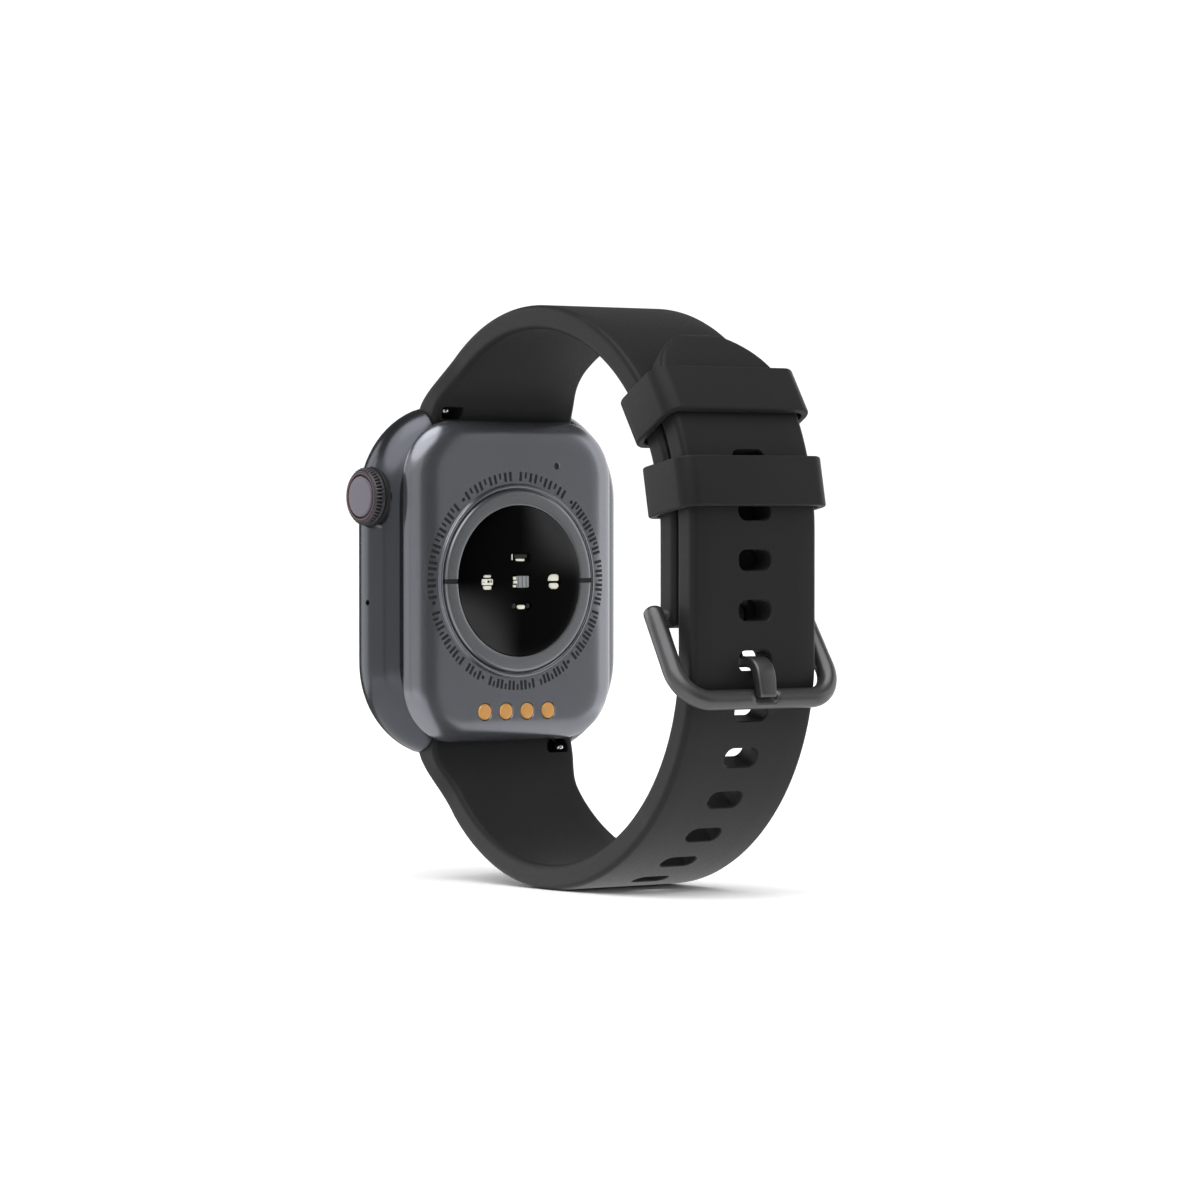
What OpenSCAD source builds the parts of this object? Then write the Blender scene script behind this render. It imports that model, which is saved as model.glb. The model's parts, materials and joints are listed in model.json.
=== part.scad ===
// Square smartwatch with a silicone strap, buckled into its wrist loop.
// Origin: centre of the display glass's outer face. +X crown side, +Y towards the wrist, +Z twelve o'clock.

/* [Case] */
// Height of the case, twelve to six o'clock
case_h = 44; // [43:0.5:46]
// Width of the case, without the crown
case_w = 38; // [37.5:0.5:40]
// Corner radius of the case seen from the front
case_r = 11.9; // [10.5:0.1:12.5]
// Depth from the display's outer face to the back cover's flat
case_d = 10; // [10:0.1:10.6]

/* [Crown] */
// Outer radius of the knurled crown
crown_r = 3.6; // [3.2:0.1:3.8]
// Height of the crown's axis above the middle of the case
crown_z = 10.5; // [9.5:0.05:10.5]
// How far the crown presses in
crown_travel = 0.5; // [0.3:0.05:0.5]
// Number of grooves in the crown's rim
crown_grooves = 36; // [24:1:48]

/* [Sensor] */
// Outer radius of the electrode ring on the back
ring_r = 11.4; // [11:0.1:12]
// Radius of the black sensor lens
lens_r = 9.4; // [9:0.1:9.5]
// Distance between neighbouring charging pads
pad_pitch = 3.29; // [2.8:0.01:3.5]

/* [Strap] */
// Width of the strap along most of its length
strap_w = 19; // [18:0.5:19]
// Width of the strap's ends between the lugs
lug_w = 21.8; // [20:0.1:21.8]
// Thickness of the upper strap, which carries the buckle
upper_t = 3.0; // [2.6:0.1:3]
// Thickness of the lower strap, which carries the slots
lower_t = 3.1; // [2.6:0.1:3.1]
// Number of slots in the lower strap
slot_count = 11; // [6:1:12]
// Distance between neighbouring slots along the strap
slot_pitch = 5.95; // [5.9:0.05:6]
// Length of a keeper along the strap
keeper_len = 6; // [5:0.1:6.4]

/* [Buckle] */
// Thickness of the buckle's wire
wire_d = 2.4; // [2:0.1:2.4]
// Distance between the buckle's arms, middle to middle
buckle_w = 23.2; // [23:0.1:23.6]

/* [Hidden] */
$fn = 64;
big = 100;

// Layers through the case, measured from the display's outer face
glass_t = 1.1;
rim_y = 0.6;
cover_y = 7.8;
cavity_y = 2.5;
cavity_w = 31.6;
cavity_h = 31.2;
cavity_r = 5;
board_y = 3.0;
board_t = 0.7;

// The case's side is half a circle in profile, and the cover's edge is a quarter of an ellipse
side_r = 4;
cover_w = case_w - 6;
cover_h = case_h - 4;
cover_r = 7.5;
cover_round = 3;

// The cover's spigot goes into the cavity, with the gasket round it
spigot_y = 6.9;
gasket_t = 0.6;

// Places of the sensor's windows from its centre
window_x = 5.15;
window_z = 3;

// Crown axis
crown_y = 5.6;
shaft_r = 1.0;
bushing_r = 1.7;
knob_x = case_w / 2 + 0.4;
seal_t = 0.6;
cap_r = 2.7;
accent_r = 3;

// Spring bars, which hold the straps between the lugs
bar_y = 5.2;
bar_z = 19.4;
bar_r = 0.75;
bar_bore_r = 0.45;
pin_r = 0.4;
pin_tip = 12.3;
barrel_r = 2.1;
release_travel = 1.4;
release_x = 9;
release_angle = 48;

// Wrist loop. The upper strap and the overlapping tail share one centre behind the wrist.
loop_y = 25.8;
loop_z = 6.2;
upper_r = 27.5;
gap = 0.4;
tail_r = upper_r + gap + lower_t;
upper_lug_r = 25.6;
upper_lug_turn = 46;
tail_mid_y = 28.1;
tail_mid_z = -8.5;
tail_mid_r = loop_y + tail_r - tail_mid_y;
tail_lug_r = 26.3;
tail_lug_turn = 53.2;
tip_angle = 50.5;
lug_front_y = 3.2;
lug_back_y = 7.2;
arc_steps = 36;

// Buckle
pivot_y = loop_y + upper_r - upper_t / 2;
pivot_z = -3.6;
pivot_r = 0.75;
wire_r = wire_d / 2;
frame_len = 11.5;
frame_tilt = 31;
frame_corner_r = 3;
tongue_w = 2.7;
tongue_r = 0.65;
tongue_z = -9.1;
slot_l = 5.1;
slot_w = 2.7;

// Keepers slide round the loop's centre
keeper_wall = 1;
keeper_clear = 0.15;
keeper_side_clear = 0.5;
keeper_r = 2;
keeper_lower_angle = 11;
keeper_upper_angle = 32.2;

// Motor
motor_x = 12.2;
motor_y = 4.9;

// ---- Shared shapes ----

// Rounded rectangle with true corner arcs
module rounded_rect(w, h, r) {
    square([w - 2 * r, h], center = true);
    square([w, h - 2 * r], center = true);
    for (x = [-1, 1], y = [-1, 1]) translate([x * (w / 2 - r), y * (h / 2 - r)]) circle(r);
}

// Plate lying across Y, from y0 to y1
module slab(w, h, r, y0, y1) {
    translate([0, y1, 0]) rotate([90, 0, 0]) linear_extrude(y1 - y0) rounded_rect(w, h, r);
}

// Box from its lowest to its highest corner
module block(low, high) {
    translate(low) cube(high - low);
}

// Cylinder along X
module rod_x(r, x0, x1, y, z) {
    translate([x0, y, z]) rotate([0, 90, 0]) cylinder(r = r, h = x1 - x0);
}

// Cylinder along Y
module rod_y(r, y0, y1, x, z) {
    translate([x, y0, z]) rotate([-90, 0, 0]) cylinder(r = r, h = y1 - y0);
}

// Side profile drawn as [y, z], extruded across the strap's width
module side_extrude(w) {
    translate([-w / 2, 0, 0]) rotate([90, 0, 90]) linear_extrude(w) children();
}

function direction(a, b) = (b - a) / norm(b - a);

// Corner i of an outline at distance r to the left of a path, with mitred corners
function mitre(path, i, r) =
    let (
        d0 = direction(path[max(i - 1, 0)], path[max(i, 1)]),
        d1 = i < len(path) - 1 ? direction(path[i], path[i + 1]) : d0,
        m = [-d0[1] - d1[1], d0[0] + d1[0]]
    ) path[i] + m * 2 * r / (m * m);

// Flat-ended stroke of half-width r along a path
module stroke(path, r) {
    last = len(path) - 1;
    polygon(concat([for (i = [0 : last]) mitre(path, i, r)], [for (i = [last : -1 : 0]) mitre(path, i, -r)]));
}

function arc(c, r, from, to, steps = arc_steps) =
    [for (i = [0 : steps]) let (a = from + (to - from) * i / steps) c + r * [cos(a), sin(a)]];

// Where the straight stretch at a lug, which leaves an arc at angle a, reaches a given y
function lug_point(c, r, a, y) =
    let (p = c + r * [cos(a), sin(a)], u = [-sin(a), cos(a)]) p + u * (y - p[0]) / u[0];

function reverse(list) = [for (i = [len(list) - 1 : -1 : 0]) list[i]];

// ---- Case ----

// Solid with true round corners, whose edge profile is the child turned about each corner's own axis
module rounded_body(w, h, r) {
    hull() for (x = [-1, 1], z = [-1, 1])
        translate([x * (w / 2 - r), 0, z * (h / 2 - r)]) rotate([-90, 0, 0]) rotate_extrude($fn = 48) children();
}

// Distance from a corner's axis to the side's surface at depth y
function side_at(y) = case_r - side_r + sqrt(side_r * side_r - (y - side_r) * (y - side_r));

module lug_pocket(side) {
    rod_x(barrel_r + 0.3, -lug_w / 2 - 0.2, lug_w / 2 + 0.2, bar_y, side * bar_z);
    mirror([0, 0, side < 0 ? 1 : 0])
        block([-lug_w / 2 - 0.2, lug_front_y - 0.4, bar_z], [lug_w / 2 + 0.2, cover_y + 1, case_h]);
}

module case_body() {
    color([0.19, 0.20, 0.23])
    difference() {
        rounded_body(case_w, case_h, case_r)
            polygon(concat(
                [[0, rim_y]], [for (i = [0 : 12]) let (y = rim_y + (cover_y - rim_y) * i / 12) [side_at(y), y]],
                [[0, cover_y]]
            ));
        slab(case_w - 4, case_h - 4, case_r - 2, -1, glass_t + 0.15);
        slab(case_w - 5.2, case_h - 5.2, case_r - 2.6, 0, cavity_y);
        slab(cavity_w, cavity_h, cavity_r, 1, big);
        for (side = [-1, 1]) lug_pocket(side);
        for (side = [-1, 1]) rod_x(bar_bore_r, -pin_tip - 0.3, pin_tip + 0.3, bar_y, side * bar_z);
        rod_x(bushing_r, 14, big, crown_y, crown_z);
        rod_x(crown_r + 0.35, knob_x - seal_t - crown_travel - 0.15, big, crown_y, crown_z);
        rod_x(0.4, 14, big, 4.5, -2.6);
        for (i = [-1 : 1]) block([-big, 4.1, i * 3.2 - 7.2], [-14, 4.9, i * 3.2 - 5.2]);
    }
}

module display_glass() {
    color([0.03, 0.03, 0.04])
    union() {
        slab(case_w - 7.6, case_h - 7.6, case_r - 3.8, 0, 0.2);
        slab(case_w - 5.8, case_h - 5.8, case_r - 2.9, 0.2, 0.5);
        slab(case_w - 4.2, case_h - 4.2, case_r - 2.1, 0.5, glass_t);
    }
}

module display_adhesive() {
    color([0.1, 0.1, 0.1])
    difference() {
        slab(case_w - 4.2, case_h - 4.2, case_r - 2.1, glass_t, glass_t + 0.15);
        slab(case_w - 5.1, case_h - 5.1, case_r - 2.55, glass_t - 1, glass_t + 1);
    }
}

module display_panel() {
    color([0.05, 0.06, 0.09]) slab(case_w - 6.5, case_h - 6.5, case_r - 3.2, glass_t, 2.2);
}

module display_flex() {
    color([0.75, 0.45, 0.1])
    union() {
        block([-4, 2.2, 7], [4, 2.35, 14.15]);
        block([-4, 2.2, 14], [4, board_y, 14.15]);
    }
}

module screw_holes(r) {
    for (p = [[-13.6, 13.2], [-13.6, 4.4], [10.6, 4.4]]) rod_y(r, 0, big, p[0], p[1]);
}

module inner_bracket() {
    color([0.6, 0.61, 0.63])
    difference() {
        slab(cavity_w - 0.4, cavity_h - 0.4, cavity_r - 0.2, cavity_y, cavity_y + 0.35);
        block([-4.5, 0, 13.5], [4.5, big, 14.8]);
        screw_holes(0.5);
    }
}

module battery() {
    color([0.75, 0.76, 0.78])
    union() {
        block([-12.8, board_y + 0.1, -14.6], [8.4, 6.5, 2.2]);
        block([-6, board_y + 0.3, 2.2], [2, 5.2, 2.9]);
    }
}

module battery_tape() {
    color([0.9, 0.9, 0.88]) block([-11, cavity_y + 0.35, -13], [6.5, board_y + 0.1, 0.5]);
}

module main_board() {
    color([0.05, 0.28, 0.16])
    difference() {
        intersection() {
            block([-15, board_y, 3.2], [12, board_y + board_t, 15]);
            slab(cavity_w - 0.6, cavity_h - 0.6, cavity_r - 0.3, 0, big);
        }
        screw_holes(0.5);
    }
}

module shield_can() {
    color([0.7, 0.71, 0.72])
    difference() {
        block([-12, board_y + board_t, 5], [-1, board_y + board_t + 1.2, 14]);
        block([-11.8, 0, 5.2], [-1.2, board_y + board_t + 1, 13.8]);
    }
}

module board_screws() {
    color([0.5, 0.5, 0.52])
    for (p = [[-13.6, 13.2], [-13.6, 4.4], [10.6, 4.4]]) {
        rod_y(0.5, cavity_y, board_y + board_t, p[0], p[1]);
        difference() {
            rod_y(0.9, board_y + board_t, board_y + board_t + 0.5, p[0], p[1]);
            for (a = [0, 90]) translate([p[0], board_y + board_t + 0.4, p[1]])
                rotate([0, a, 0]) cube([1.2, 0.4, 0.25], center = true);
        }
    }
}

module antenna() {
    color([0.8, 0.6, 0.25])
    union() {
        block([-9, 3.8, 15.1], [7, 6.4, 15.3]);
        block([-9, board_y + board_t, 14.3], [-7, 3.9, 15.3]);
    }
}

module microphone() {
    color([0.75, 0.72, 0.55]) block([14.4, 3.6, -4.2], [15.7, 5.4, -1]);
}

module speaker() {
    color([0.12, 0.12, 0.13]) block([-15, 3.2, -11], [-13, 6.2, -1.8]);
}

module speaker_mesh() {
    color([0.2, 0.2, 0.2]) block([-15.7, 3.6, -10.9], [-15.2, 5.6, -1.9]);
}

module motor_can() {
    color([0.72, 0.72, 0.74])
    difference() {
        translate([motor_x, motor_y, -14]) cylinder(r = 1.8, h = 7);
        translate([motor_x, motor_y, -12]) cylinder(r = 0.45, h = 6);
    }
}

module motor_shaft() {
    color([0.8, 0.8, 0.8]) translate([motor_x, motor_y, -11.5]) cylinder(r = 0.4, h = 8);
}

module motor_weight() {
    color([0.45, 0.45, 0.47])
    difference() {
        translate([motor_x, motor_y, -6.6]) cylinder(r = 1.65, h = 2.8);
        translate([motor_x, motor_y, -7]) cylinder(r = 0.4, h = 4);
        block([motor_x - 3, motor_y + 0.7, -8], [motor_x + 3, motor_y + 3, 0]);
    }
}

// ---- Back ----

// Two round, one square and two slotted sensor positions
module sensor_places(y0, y1) {
    for (x = [-window_x, window_x]) rod_y(1.0, y0, y1, x, 0);
    block([-1.3, y0, -0.8], [1.3, y1, 0.8]);
    for (z = [-window_z, window_z]) block([-1.5, y0, z - 0.5], [1.5, y1, z + 0.5]);
}

module sensor_board() {
    color([0.05, 0.25, 0.15]) rod_y(8.4, 6.7, 7.1, 0, 0);
}

module sensor_leds() {
    color([0.5, 0.9, 0.4])
    union() {
        for (x = [-window_x, window_x]) block([x - 0.6, 7.1, -0.5], [x + 0.6, 7.6, 0.5]);
        for (z = [-window_z, window_z]) block([-0.7, 7.1, z - 0.25], [0.7, 7.6, z + 0.25]);
    }
}

module photodiode() {
    color([0.2, 0.2, 0.3]) block([-0.9, 7.1, -0.7], [0.9, 7.5, 0.7]);
}

module light_baffle() {
    color([0.02, 0.02, 0.02])
    difference() {
        rod_y(8.6, 7.2, 9.3, 0, 0);
        sensor_places(6, 10);
    }
}

module sensor_lens() {
    color([0.01, 0.01, 0.012])
    translate([0, 9.35, 0])
        rotate([-90, 0, 0])
            rotate_extrude()
                polygon(concat([[0, 0], [lens_r, 0]], [for (i = [0 : 12]) lens_r * [cos(7.5 * i), 0]
                    + [0, 1.25 + 0.4 * sin(7.5 * i)]]));
}

module ring_half(side) {
    difference() {
        rod_y(ring_r, 9.35, case_d + 0.6, 0, 0);
        rod_y(lens_r + 0.05, 9, big, 0, 0);
        mirror([0, 0, side < 0 ? 1 : 0]) block([-big, 0, -big], [big, big, 0.3]);
    }
}

module sensor_ring_upper() {
    color([0.42, 0.43, 0.45]) ring_half(1);
}

module sensor_ring_lower() {
    color([0.42, 0.43, 0.45]) ring_half(-1);
}

module ring_insulators() {
    color([0.02, 0.02, 0.02])
    intersection() {
        difference() {
            rod_y(ring_r, 9.35, case_d + 0.55, 0, 0);
            rod_y(lens_r + 0.05, 9, big, 0, 0);
        }
        block([-big, 0, -0.3], [big, big, 0.3]);
    }
}

module back_cover() {
    color([0.27, 0.28, 0.31])
    difference() {
        union() {
            rounded_body(cover_w, cover_h, cover_r)
                polygon(concat(
                    [[0, cover_y]], [for (i = [0 : 10]) [cover_r - cover_round + cover_round * cos(9 * i),
                        cover_y + 0.1 + (case_d - cover_y - 0.1) * sin(9 * i)]], [[0, case_d]]
                ));
            slab(cavity_w - 2 * gasket_t, cavity_h - 2 * gasket_t, cavity_r - gasket_t, spigot_y, cover_y + 0.3);
        }
        slab(cavity_w - 2.4, cavity_h - 2.4, cavity_r - 1.2, 0, 8.6);
        rod_y(8.8, 0, big, 0, 0);
        rod_y(ring_r, 9.35, big, 0, 0);
        for (i = [-1.5 : 1.5]) rod_y(1, 9.2, big, i * pad_pitch, -16.3);
        block([-6, 8.1, -17.2], [6, 8.6, -14]);
        for (i = [-1.5 : 1.5]) rod_y(0.3, 8.3, 9.5, i * pad_pitch, -16.3);
        rod_y(0.4, 8, big, -6.35, 14.4);
    }
}

module back_gasket() {
    color([0.08, 0.08, 0.08])
    difference() {
        slab(cavity_w, cavity_h, cavity_r, cover_y - gasket_t - 0.1, cover_y - 0.1);
        slab(cavity_w - 2 * gasket_t, cavity_h - 2 * gasket_t, cavity_r - gasket_t, 0, big);
    }
}

module charging_pads() {
    color([0.72, 0.50, 0.25])
    for (i = [-1.5 : 1.5]) rod_y(1, 9.2, case_d + 0.05, i * pad_pitch, -16.3);
}

module pad_pins() {
    color([0.8, 0.62, 0.3])
    for (i = [-1.5 : 1.5]) rod_y(0.3, 8.35, 9.2, i * pad_pitch, -16.3);
}

module charging_flex() {
    color([0.75, 0.45, 0.1]) block([-5.8, 8.15, -17.1], [5.8, 8.35, -9]);
}

module charging_magnets() {
    color([0.6, 0.6, 0.62])
    for (x = [-9.6, 9.6]) rod_y(1.4, 7.65, 8.6, x, -12.6);
}

// ---- Crown ----

module crown_bushing() {
    color([0.5, 0.5, 0.52])
    difference() {
        rod_x(bushing_r, 15.9, 18.1, crown_y, crown_z);
        rod_x(shaft_r + 0.05, 15, 19, crown_y, crown_z);
        rod_x(bushing_r - 0.25, 16.15, 17.5, crown_y, crown_z);
    }
}

module crown_shaft() {
    color([0.6, 0.6, 0.62])
    difference() {
        rod_x(shaft_r, 12.6, knob_x + 1, crown_y, crown_z);
        difference() {
            rod_x(2, 16.8, 17.4, crown_y, crown_z);
            rod_x(0.75, 16, 18, crown_y, crown_z);
        }
        difference() {
            rod_x(2, 15.45, 15.7, crown_y, crown_z);
            rod_x(0.75, 15, 16, crown_y, crown_z);
        }
    }
}

module crown_knob() {
    color([0.24, 0.25, 0.28])
    difference() {
        union() {
            rod_x(crown_r - 0.05, knob_x, knob_x + 0.4, crown_y, crown_z);
            rod_x(crown_r, knob_x + 0.3, knob_x + 0.9, crown_y, crown_z);
            translate([knob_x + 0.85, crown_y, crown_z]) rotate([0, 90, 0])
                cylinder(r1 = crown_r - 0.1, r2 = accent_r + 0.05, h = 0.5);
        }
        for (i = [0 : crown_grooves - 1])
            translate([knob_x + 0.4, crown_y, crown_z]) rotate([360 / crown_grooves * i, 0, 0])
                translate([0, -0.15, crown_r - 0.15]) cube([3, 0.3, 1]);
        rod_x(shaft_r, 19, knob_x + 1, crown_y, crown_z);
        rod_x(accent_r, knob_x + 1, 23, crown_y, crown_z);
    }
}

module crown_cap() {
    color([0.3, 0.31, 0.34]) rod_x(cap_r, knob_x + 1, knob_x + 1.5, crown_y, crown_z);
}

module crown_accent_ring() {
    color([0.6, 0.2, 0.2])
    difference() {
        rod_x(accent_r, knob_x + 1, knob_x + 1.4, crown_y, crown_z);
        rod_x(cap_r, 19, 23, crown_y, crown_z);
    }
}

// Runs behind the knob, in the case's recess
module crown_seal() {
    color([0.04, 0.04, 0.04])
    difference() {
        rod_x(crown_r + 0.05, knob_x - seal_t, knob_x, crown_y, crown_z);
        rod_x(shaft_r, 18, 20, crown_y, crown_z);
    }
}

module crown_oring() {
    color([0.05, 0.05, 0.05])
    translate([17.1, crown_y, crown_z]) rotate([0, 90, 0]) rotate_extrude() translate([1.1, 0]) circle(0.28);
}

module crown_clip() {
    color([0.55, 0.55, 0.56])
    difference() {
        rod_x(1.25, 15.45, 15.7, crown_y, crown_z);
        rod_x(0.75, 15, 16, crown_y, crown_z);
        block([15, crown_y - 0.6, crown_z], [16, crown_y + 0.6, crown_z + 3]);
    }
}

module encoder_wheel() {
    color([0.85, 0.85, 0.82])
    difference() {
        rod_x(2.1, 13.2, 13.9, crown_y, crown_z);
        rod_x(shaft_r, 13, 14, crown_y, crown_z);
        for (a = [0 : 30 : 330])
            translate([13, crown_y, crown_z]) rotate([a, 0, 0]) translate([0, -0.15, 1.4]) cube([1, 0.3, 1]);
    }
}

module encoder_sensor() {
    color([0.1, 0.1, 0.1]) block([12.6, 4.2, 12.7], [14.2, 6.4, 13.6]);
}

module crown_plunger() {
    color([0.9, 0.9, 0.88])
    union() {
        rod_x(0.8, 11.7, 12.57, crown_y, crown_z);
        rod_x(1.3, 11.9, 12.2, crown_y, crown_z);
    }
}

module press_switch() {
    color([0.15, 0.15, 0.16])
    union() {
        block([9.4, board_y + board_t, 8.6], [10.7, 7, 12.1]);
        rod_x(0.7, 10.7, 11.15, crown_y, crown_z);
    }
}

// ---- Spring bars, drawn for twelve o'clock. The other end is turned half round the case's Y axis. ----

module at_six_oclock() {
    rotate([0, 180, 0]) children();
}

// Runs outwards from the bar's axis, through the strap end's notch
module release_direction() {
    translate([0, bar_y, bar_z]) rotate([release_angle - 90, 0, 0]) children();
}

module bar_tube() {
    color([0.7, 0.7, 0.72])
    difference() {
        rod_x(bar_r, -9.6, 9.6, bar_y, bar_z);
        rod_x(bar_bore_r, -10, 10, bar_y, bar_z);
        release_direction() block([release_x - release_travel - 0.6, -0.5, 0], [10, 0.5, 2]);
    }
}

module fixed_pin() {
    color([0.78, 0.78, 0.8]) rod_x(bar_bore_r, -pin_tip, -8.6, bar_y, bar_z);
}

module release_pin() {
    color([0.82, 0.82, 0.84])
    union() {
        rod_x(pin_r, 6.8, pin_tip, bar_y, bar_z);
        release_direction() translate([release_x, 0, 0]) cylinder(r = 0.35, h = 2.9);
        release_direction() translate([release_x, 0, 2.1]) cylinder(r = 0.6, h = 0.9);
    }
}

module bar_spring() {
    color([0.6, 0.6, 0.62])
    difference() {
        rod_x(pin_r, -8.5, 6.7, bar_y, bar_z);
        rod_x(pin_r - 0.15, -9, 7, bar_y, bar_z);
    }
}

module upper_bar_tube() { bar_tube(); }
module upper_fixed_pin() { fixed_pin(); }
module upper_release_pin() { release_pin(); }
module upper_bar_spring() { bar_spring(); }
module lower_bar_tube() { at_six_oclock() bar_tube(); }
module lower_fixed_pin() { at_six_oclock() fixed_pin(); }
module lower_release_pin() { at_six_oclock() release_pin(); }
module lower_bar_spring() { at_six_oclock() bar_spring(); }

// ---- Straps ----

loop_c = [loop_y, loop_z];
upper_lug_c = [loop_y, loop_z + upper_r - upper_lug_r];
tail_mid_c = [tail_mid_y, tail_mid_z];
tail_lug_c = [tail_mid_y, tail_mid_z - tail_mid_r + tail_lug_r];

// One face of the upper strap, from the lug over the top and down to the buckle, set in by d
function upper_face(d, y) = concat(
    [lug_point(upper_lug_c, upper_lug_r - d, 90 + upper_lug_turn, y)],
    arc(upper_lug_c, upper_lug_r - d, 90 + upper_lug_turn, 90),
    arc(loop_c, upper_r - d, 89, 0),
    [[loop_y + upper_r - d, pivot_z]]
);

// One face of the lower strap, from the lug under the wrist and up to the tip, set in by d
function tail_face(d, y) = concat(
    [lug_point(tail_lug_c, tail_lug_r - d, -90 - tail_lug_turn, y)],
    arc(tail_lug_c, tail_lug_r - d, -90 - tail_lug_turn, -90),
    arc(tail_mid_c, tail_mid_r - d, -89, 0),
    arc(loop_c, tail_r - d, 0, tip_angle, 20)
);

module upper_profile() {
    polygon(concat(
        [[lug_front_y, bar_z]], upper_face(0, lug_front_y), reverse(upper_face(upper_t, lug_back_y)),
        [[lug_back_y, bar_z]]
    ));
    translate([bar_y, bar_z]) circle(barrel_r);
    translate([pivot_y, pivot_z]) circle(upper_t / 2);
}

module tail_profile() {
    polygon(concat(
        [[lug_front_y, -bar_z]], tail_face(0, lug_front_y), reverse(tail_face(lower_t, lug_back_y)),
        [[lug_back_y, -bar_z]]
    ));
    translate([bar_y, -bar_z]) circle(barrel_r);
}

// Plan of a strap's end between the lugs, wide at the bar and narrowing along the strap
module lug_plan(side) {
    mirror([0, 0, side < 0 ? 1 : 0])
        translate([0, 20, 0]) rotate([90, 0, 0]) linear_extrude(40)
            polygon([
                [-lug_w / 2, 0], [lug_w / 2, 0], [lug_w / 2, 22.6], [lug_w / 2 - 0.5, 24.2], [strap_w / 2, 28],
                [-strap_w / 2, 28], [0.5 - lug_w / 2, 24.2], [-lug_w / 2, 22.6]
            ]);
}

module bar_bore(side) {
    rod_x(bar_r + 0.05, -20, 20, bar_y, side * bar_z);
}

module knob_notch() {
    release_direction() block([release_x - release_travel - 0.9, -0.9, 0], [release_x + 0.9, 0.9, 3.5]);
}

module upper_strap() {
    color([0.13, 0.13, 0.14])
    difference() {
        union() {
            side_extrude(strap_w) upper_profile();
            intersection() {
                side_extrude(lug_w) upper_profile();
                lug_plan(1);
                block([-big, 0, 0], [big, 14, big]);
            }
        }
        bar_bore(1);
        knob_notch();
        rod_x(pivot_r + 0.05, -20, 20, pivot_y, pivot_z);
        block([-tongue_w / 2 - 0.3, pivot_y - 5, pivot_z - 5], [tongue_w / 2 + 0.3, pivot_y + 5, pivot_z + 2.6]);
    }
}

// Arc length along the lower strap's outer face, from where it is straight (z = tail_mid_z), up is positive
module on_tail(s) {
    straight = loop_z - tail_mid_z;
    if (s < 0)
        translate([0, tail_mid_y, tail_mid_z]) rotate([s / tail_mid_r * 180 / PI, 0, 0])
            translate([0, tail_mid_r, 0]) children();
    else if (s < straight)
        translate([0, tail_mid_y + tail_mid_r, tail_mid_z + s]) children();
    else
        translate([0, loop_y, loop_z]) rotate([(s - straight) / tail_r * 180 / PI, 0, 0])
            translate([0, tail_r, 0]) children();
}

module slot() {
    for (x = [-1, 1]) rod_y(slot_w / 2, -6, 3, x * (slot_l - slot_w) / 2, 0);
    block([(slot_w - slot_l) / 2, -6, -slot_w / 2], [(slot_l - slot_w) / 2, 3, slot_w / 2]);
}

module tip_cut() {
    tip_r = strap_w / 2;
    turn = tip_angle - tip_r / (tail_r - lower_t) * 180 / PI;
    translate([0, loop_y, loop_z]) rotate([turn, 0, 0])
        difference() {
            block([-20, tail_r - 8, 0], [20, tail_r + 4, 20]);
            rod_y(tip_r, 0, big, 0, 0);
        }
}

module lower_strap() {
    color([0.13, 0.13, 0.14])
    difference() {
        union() {
            side_extrude(strap_w) tail_profile();
            intersection() {
                side_extrude(lug_w) tail_profile();
                lug_plan(-1);
                block([-big, 0, -big], [big, 14, 0]);
            }
        }
        bar_bore(-1);
        at_six_oclock() knob_notch();
        for (i = [0 : slot_count - 1]) on_tail(tongue_z + 0.1 - tail_mid_z + slot_pitch * (4 - i)) slot();
        tip_cut();
    }
}

// Upright tube of rounded rectangle section, from its inner and outer distance and its half width
module keeper_tube(inner, outer, half, r, length) {
    translate([0, (inner + outer) / 2, -length / 2]) linear_extrude(length) rounded_rect(2 * half, outer - inner, r);
}

// Loop that slides along the strap, set at an angle round the wrist loop's centre
module keeper(angle) {
    inner = (upper_r - upper_t) * cos(7) - keeper_clear;
    outer = tail_r + keeper_clear;
    half = strap_w / 2 + keeper_side_clear;
    translate([0, loop_y, loop_z]) rotate([angle, 0, 0])
        difference() {
            keeper_tube(inner - keeper_wall, outer + keeper_wall, half + keeper_wall, keeper_r, keeper_len);
            keeper_tube(inner, outer, half, keeper_r - 1.5, 2 * keeper_len);
        }
}

module keeper_upper() {
    color([0.14, 0.14, 0.15]) keeper(keeper_upper_angle);
}

module keeper_lower() {
    color([0.14, 0.14, 0.15]) keeper(keeper_lower_angle);
}

// ---- Buckle, drawn with its arms along -Z and tilted outwards about the pivot ----

module at_pivot() {
    translate([0, pivot_y, pivot_z]) rotate([frame_tilt, 0, 0]) children();
}

module buckle_frame() {
    color([0.34, 0.34, 0.36])
    difference() {
        at_pivot() union() {
            for (x = [-1, 1]) {
                translate([x * buckle_w / 2, 0, frame_corner_r - frame_len])
                    cylinder(r = wire_r, h = frame_len - frame_corner_r);
                translate([x * buckle_w / 2, 0, 0]) sphere(wire_r);
            }
            for (x = [0, 1]) mirror([x, 0, 0])
                translate([buckle_w / 2 - frame_corner_r, 0, frame_corner_r - frame_len]) rotate([90, 0, 0])
                    rotate([0, 0, -90]) rotate_extrude(angle = 90) translate([frame_corner_r, 0]) circle(wire_r);
            rod_x(wire_r, frame_corner_r - buckle_w / 2, buckle_w / 2 - frame_corner_r, 0, -frame_len);
        }
        rod_x(pivot_r, -12, 12, pivot_y, pivot_z);
        at_pivot() block([-tongue_w / 2 - 0.2, 0.6, -frame_len - 3], [tongue_w / 2 + 0.2, 3, -frame_len + 3]);
    }
}

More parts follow.
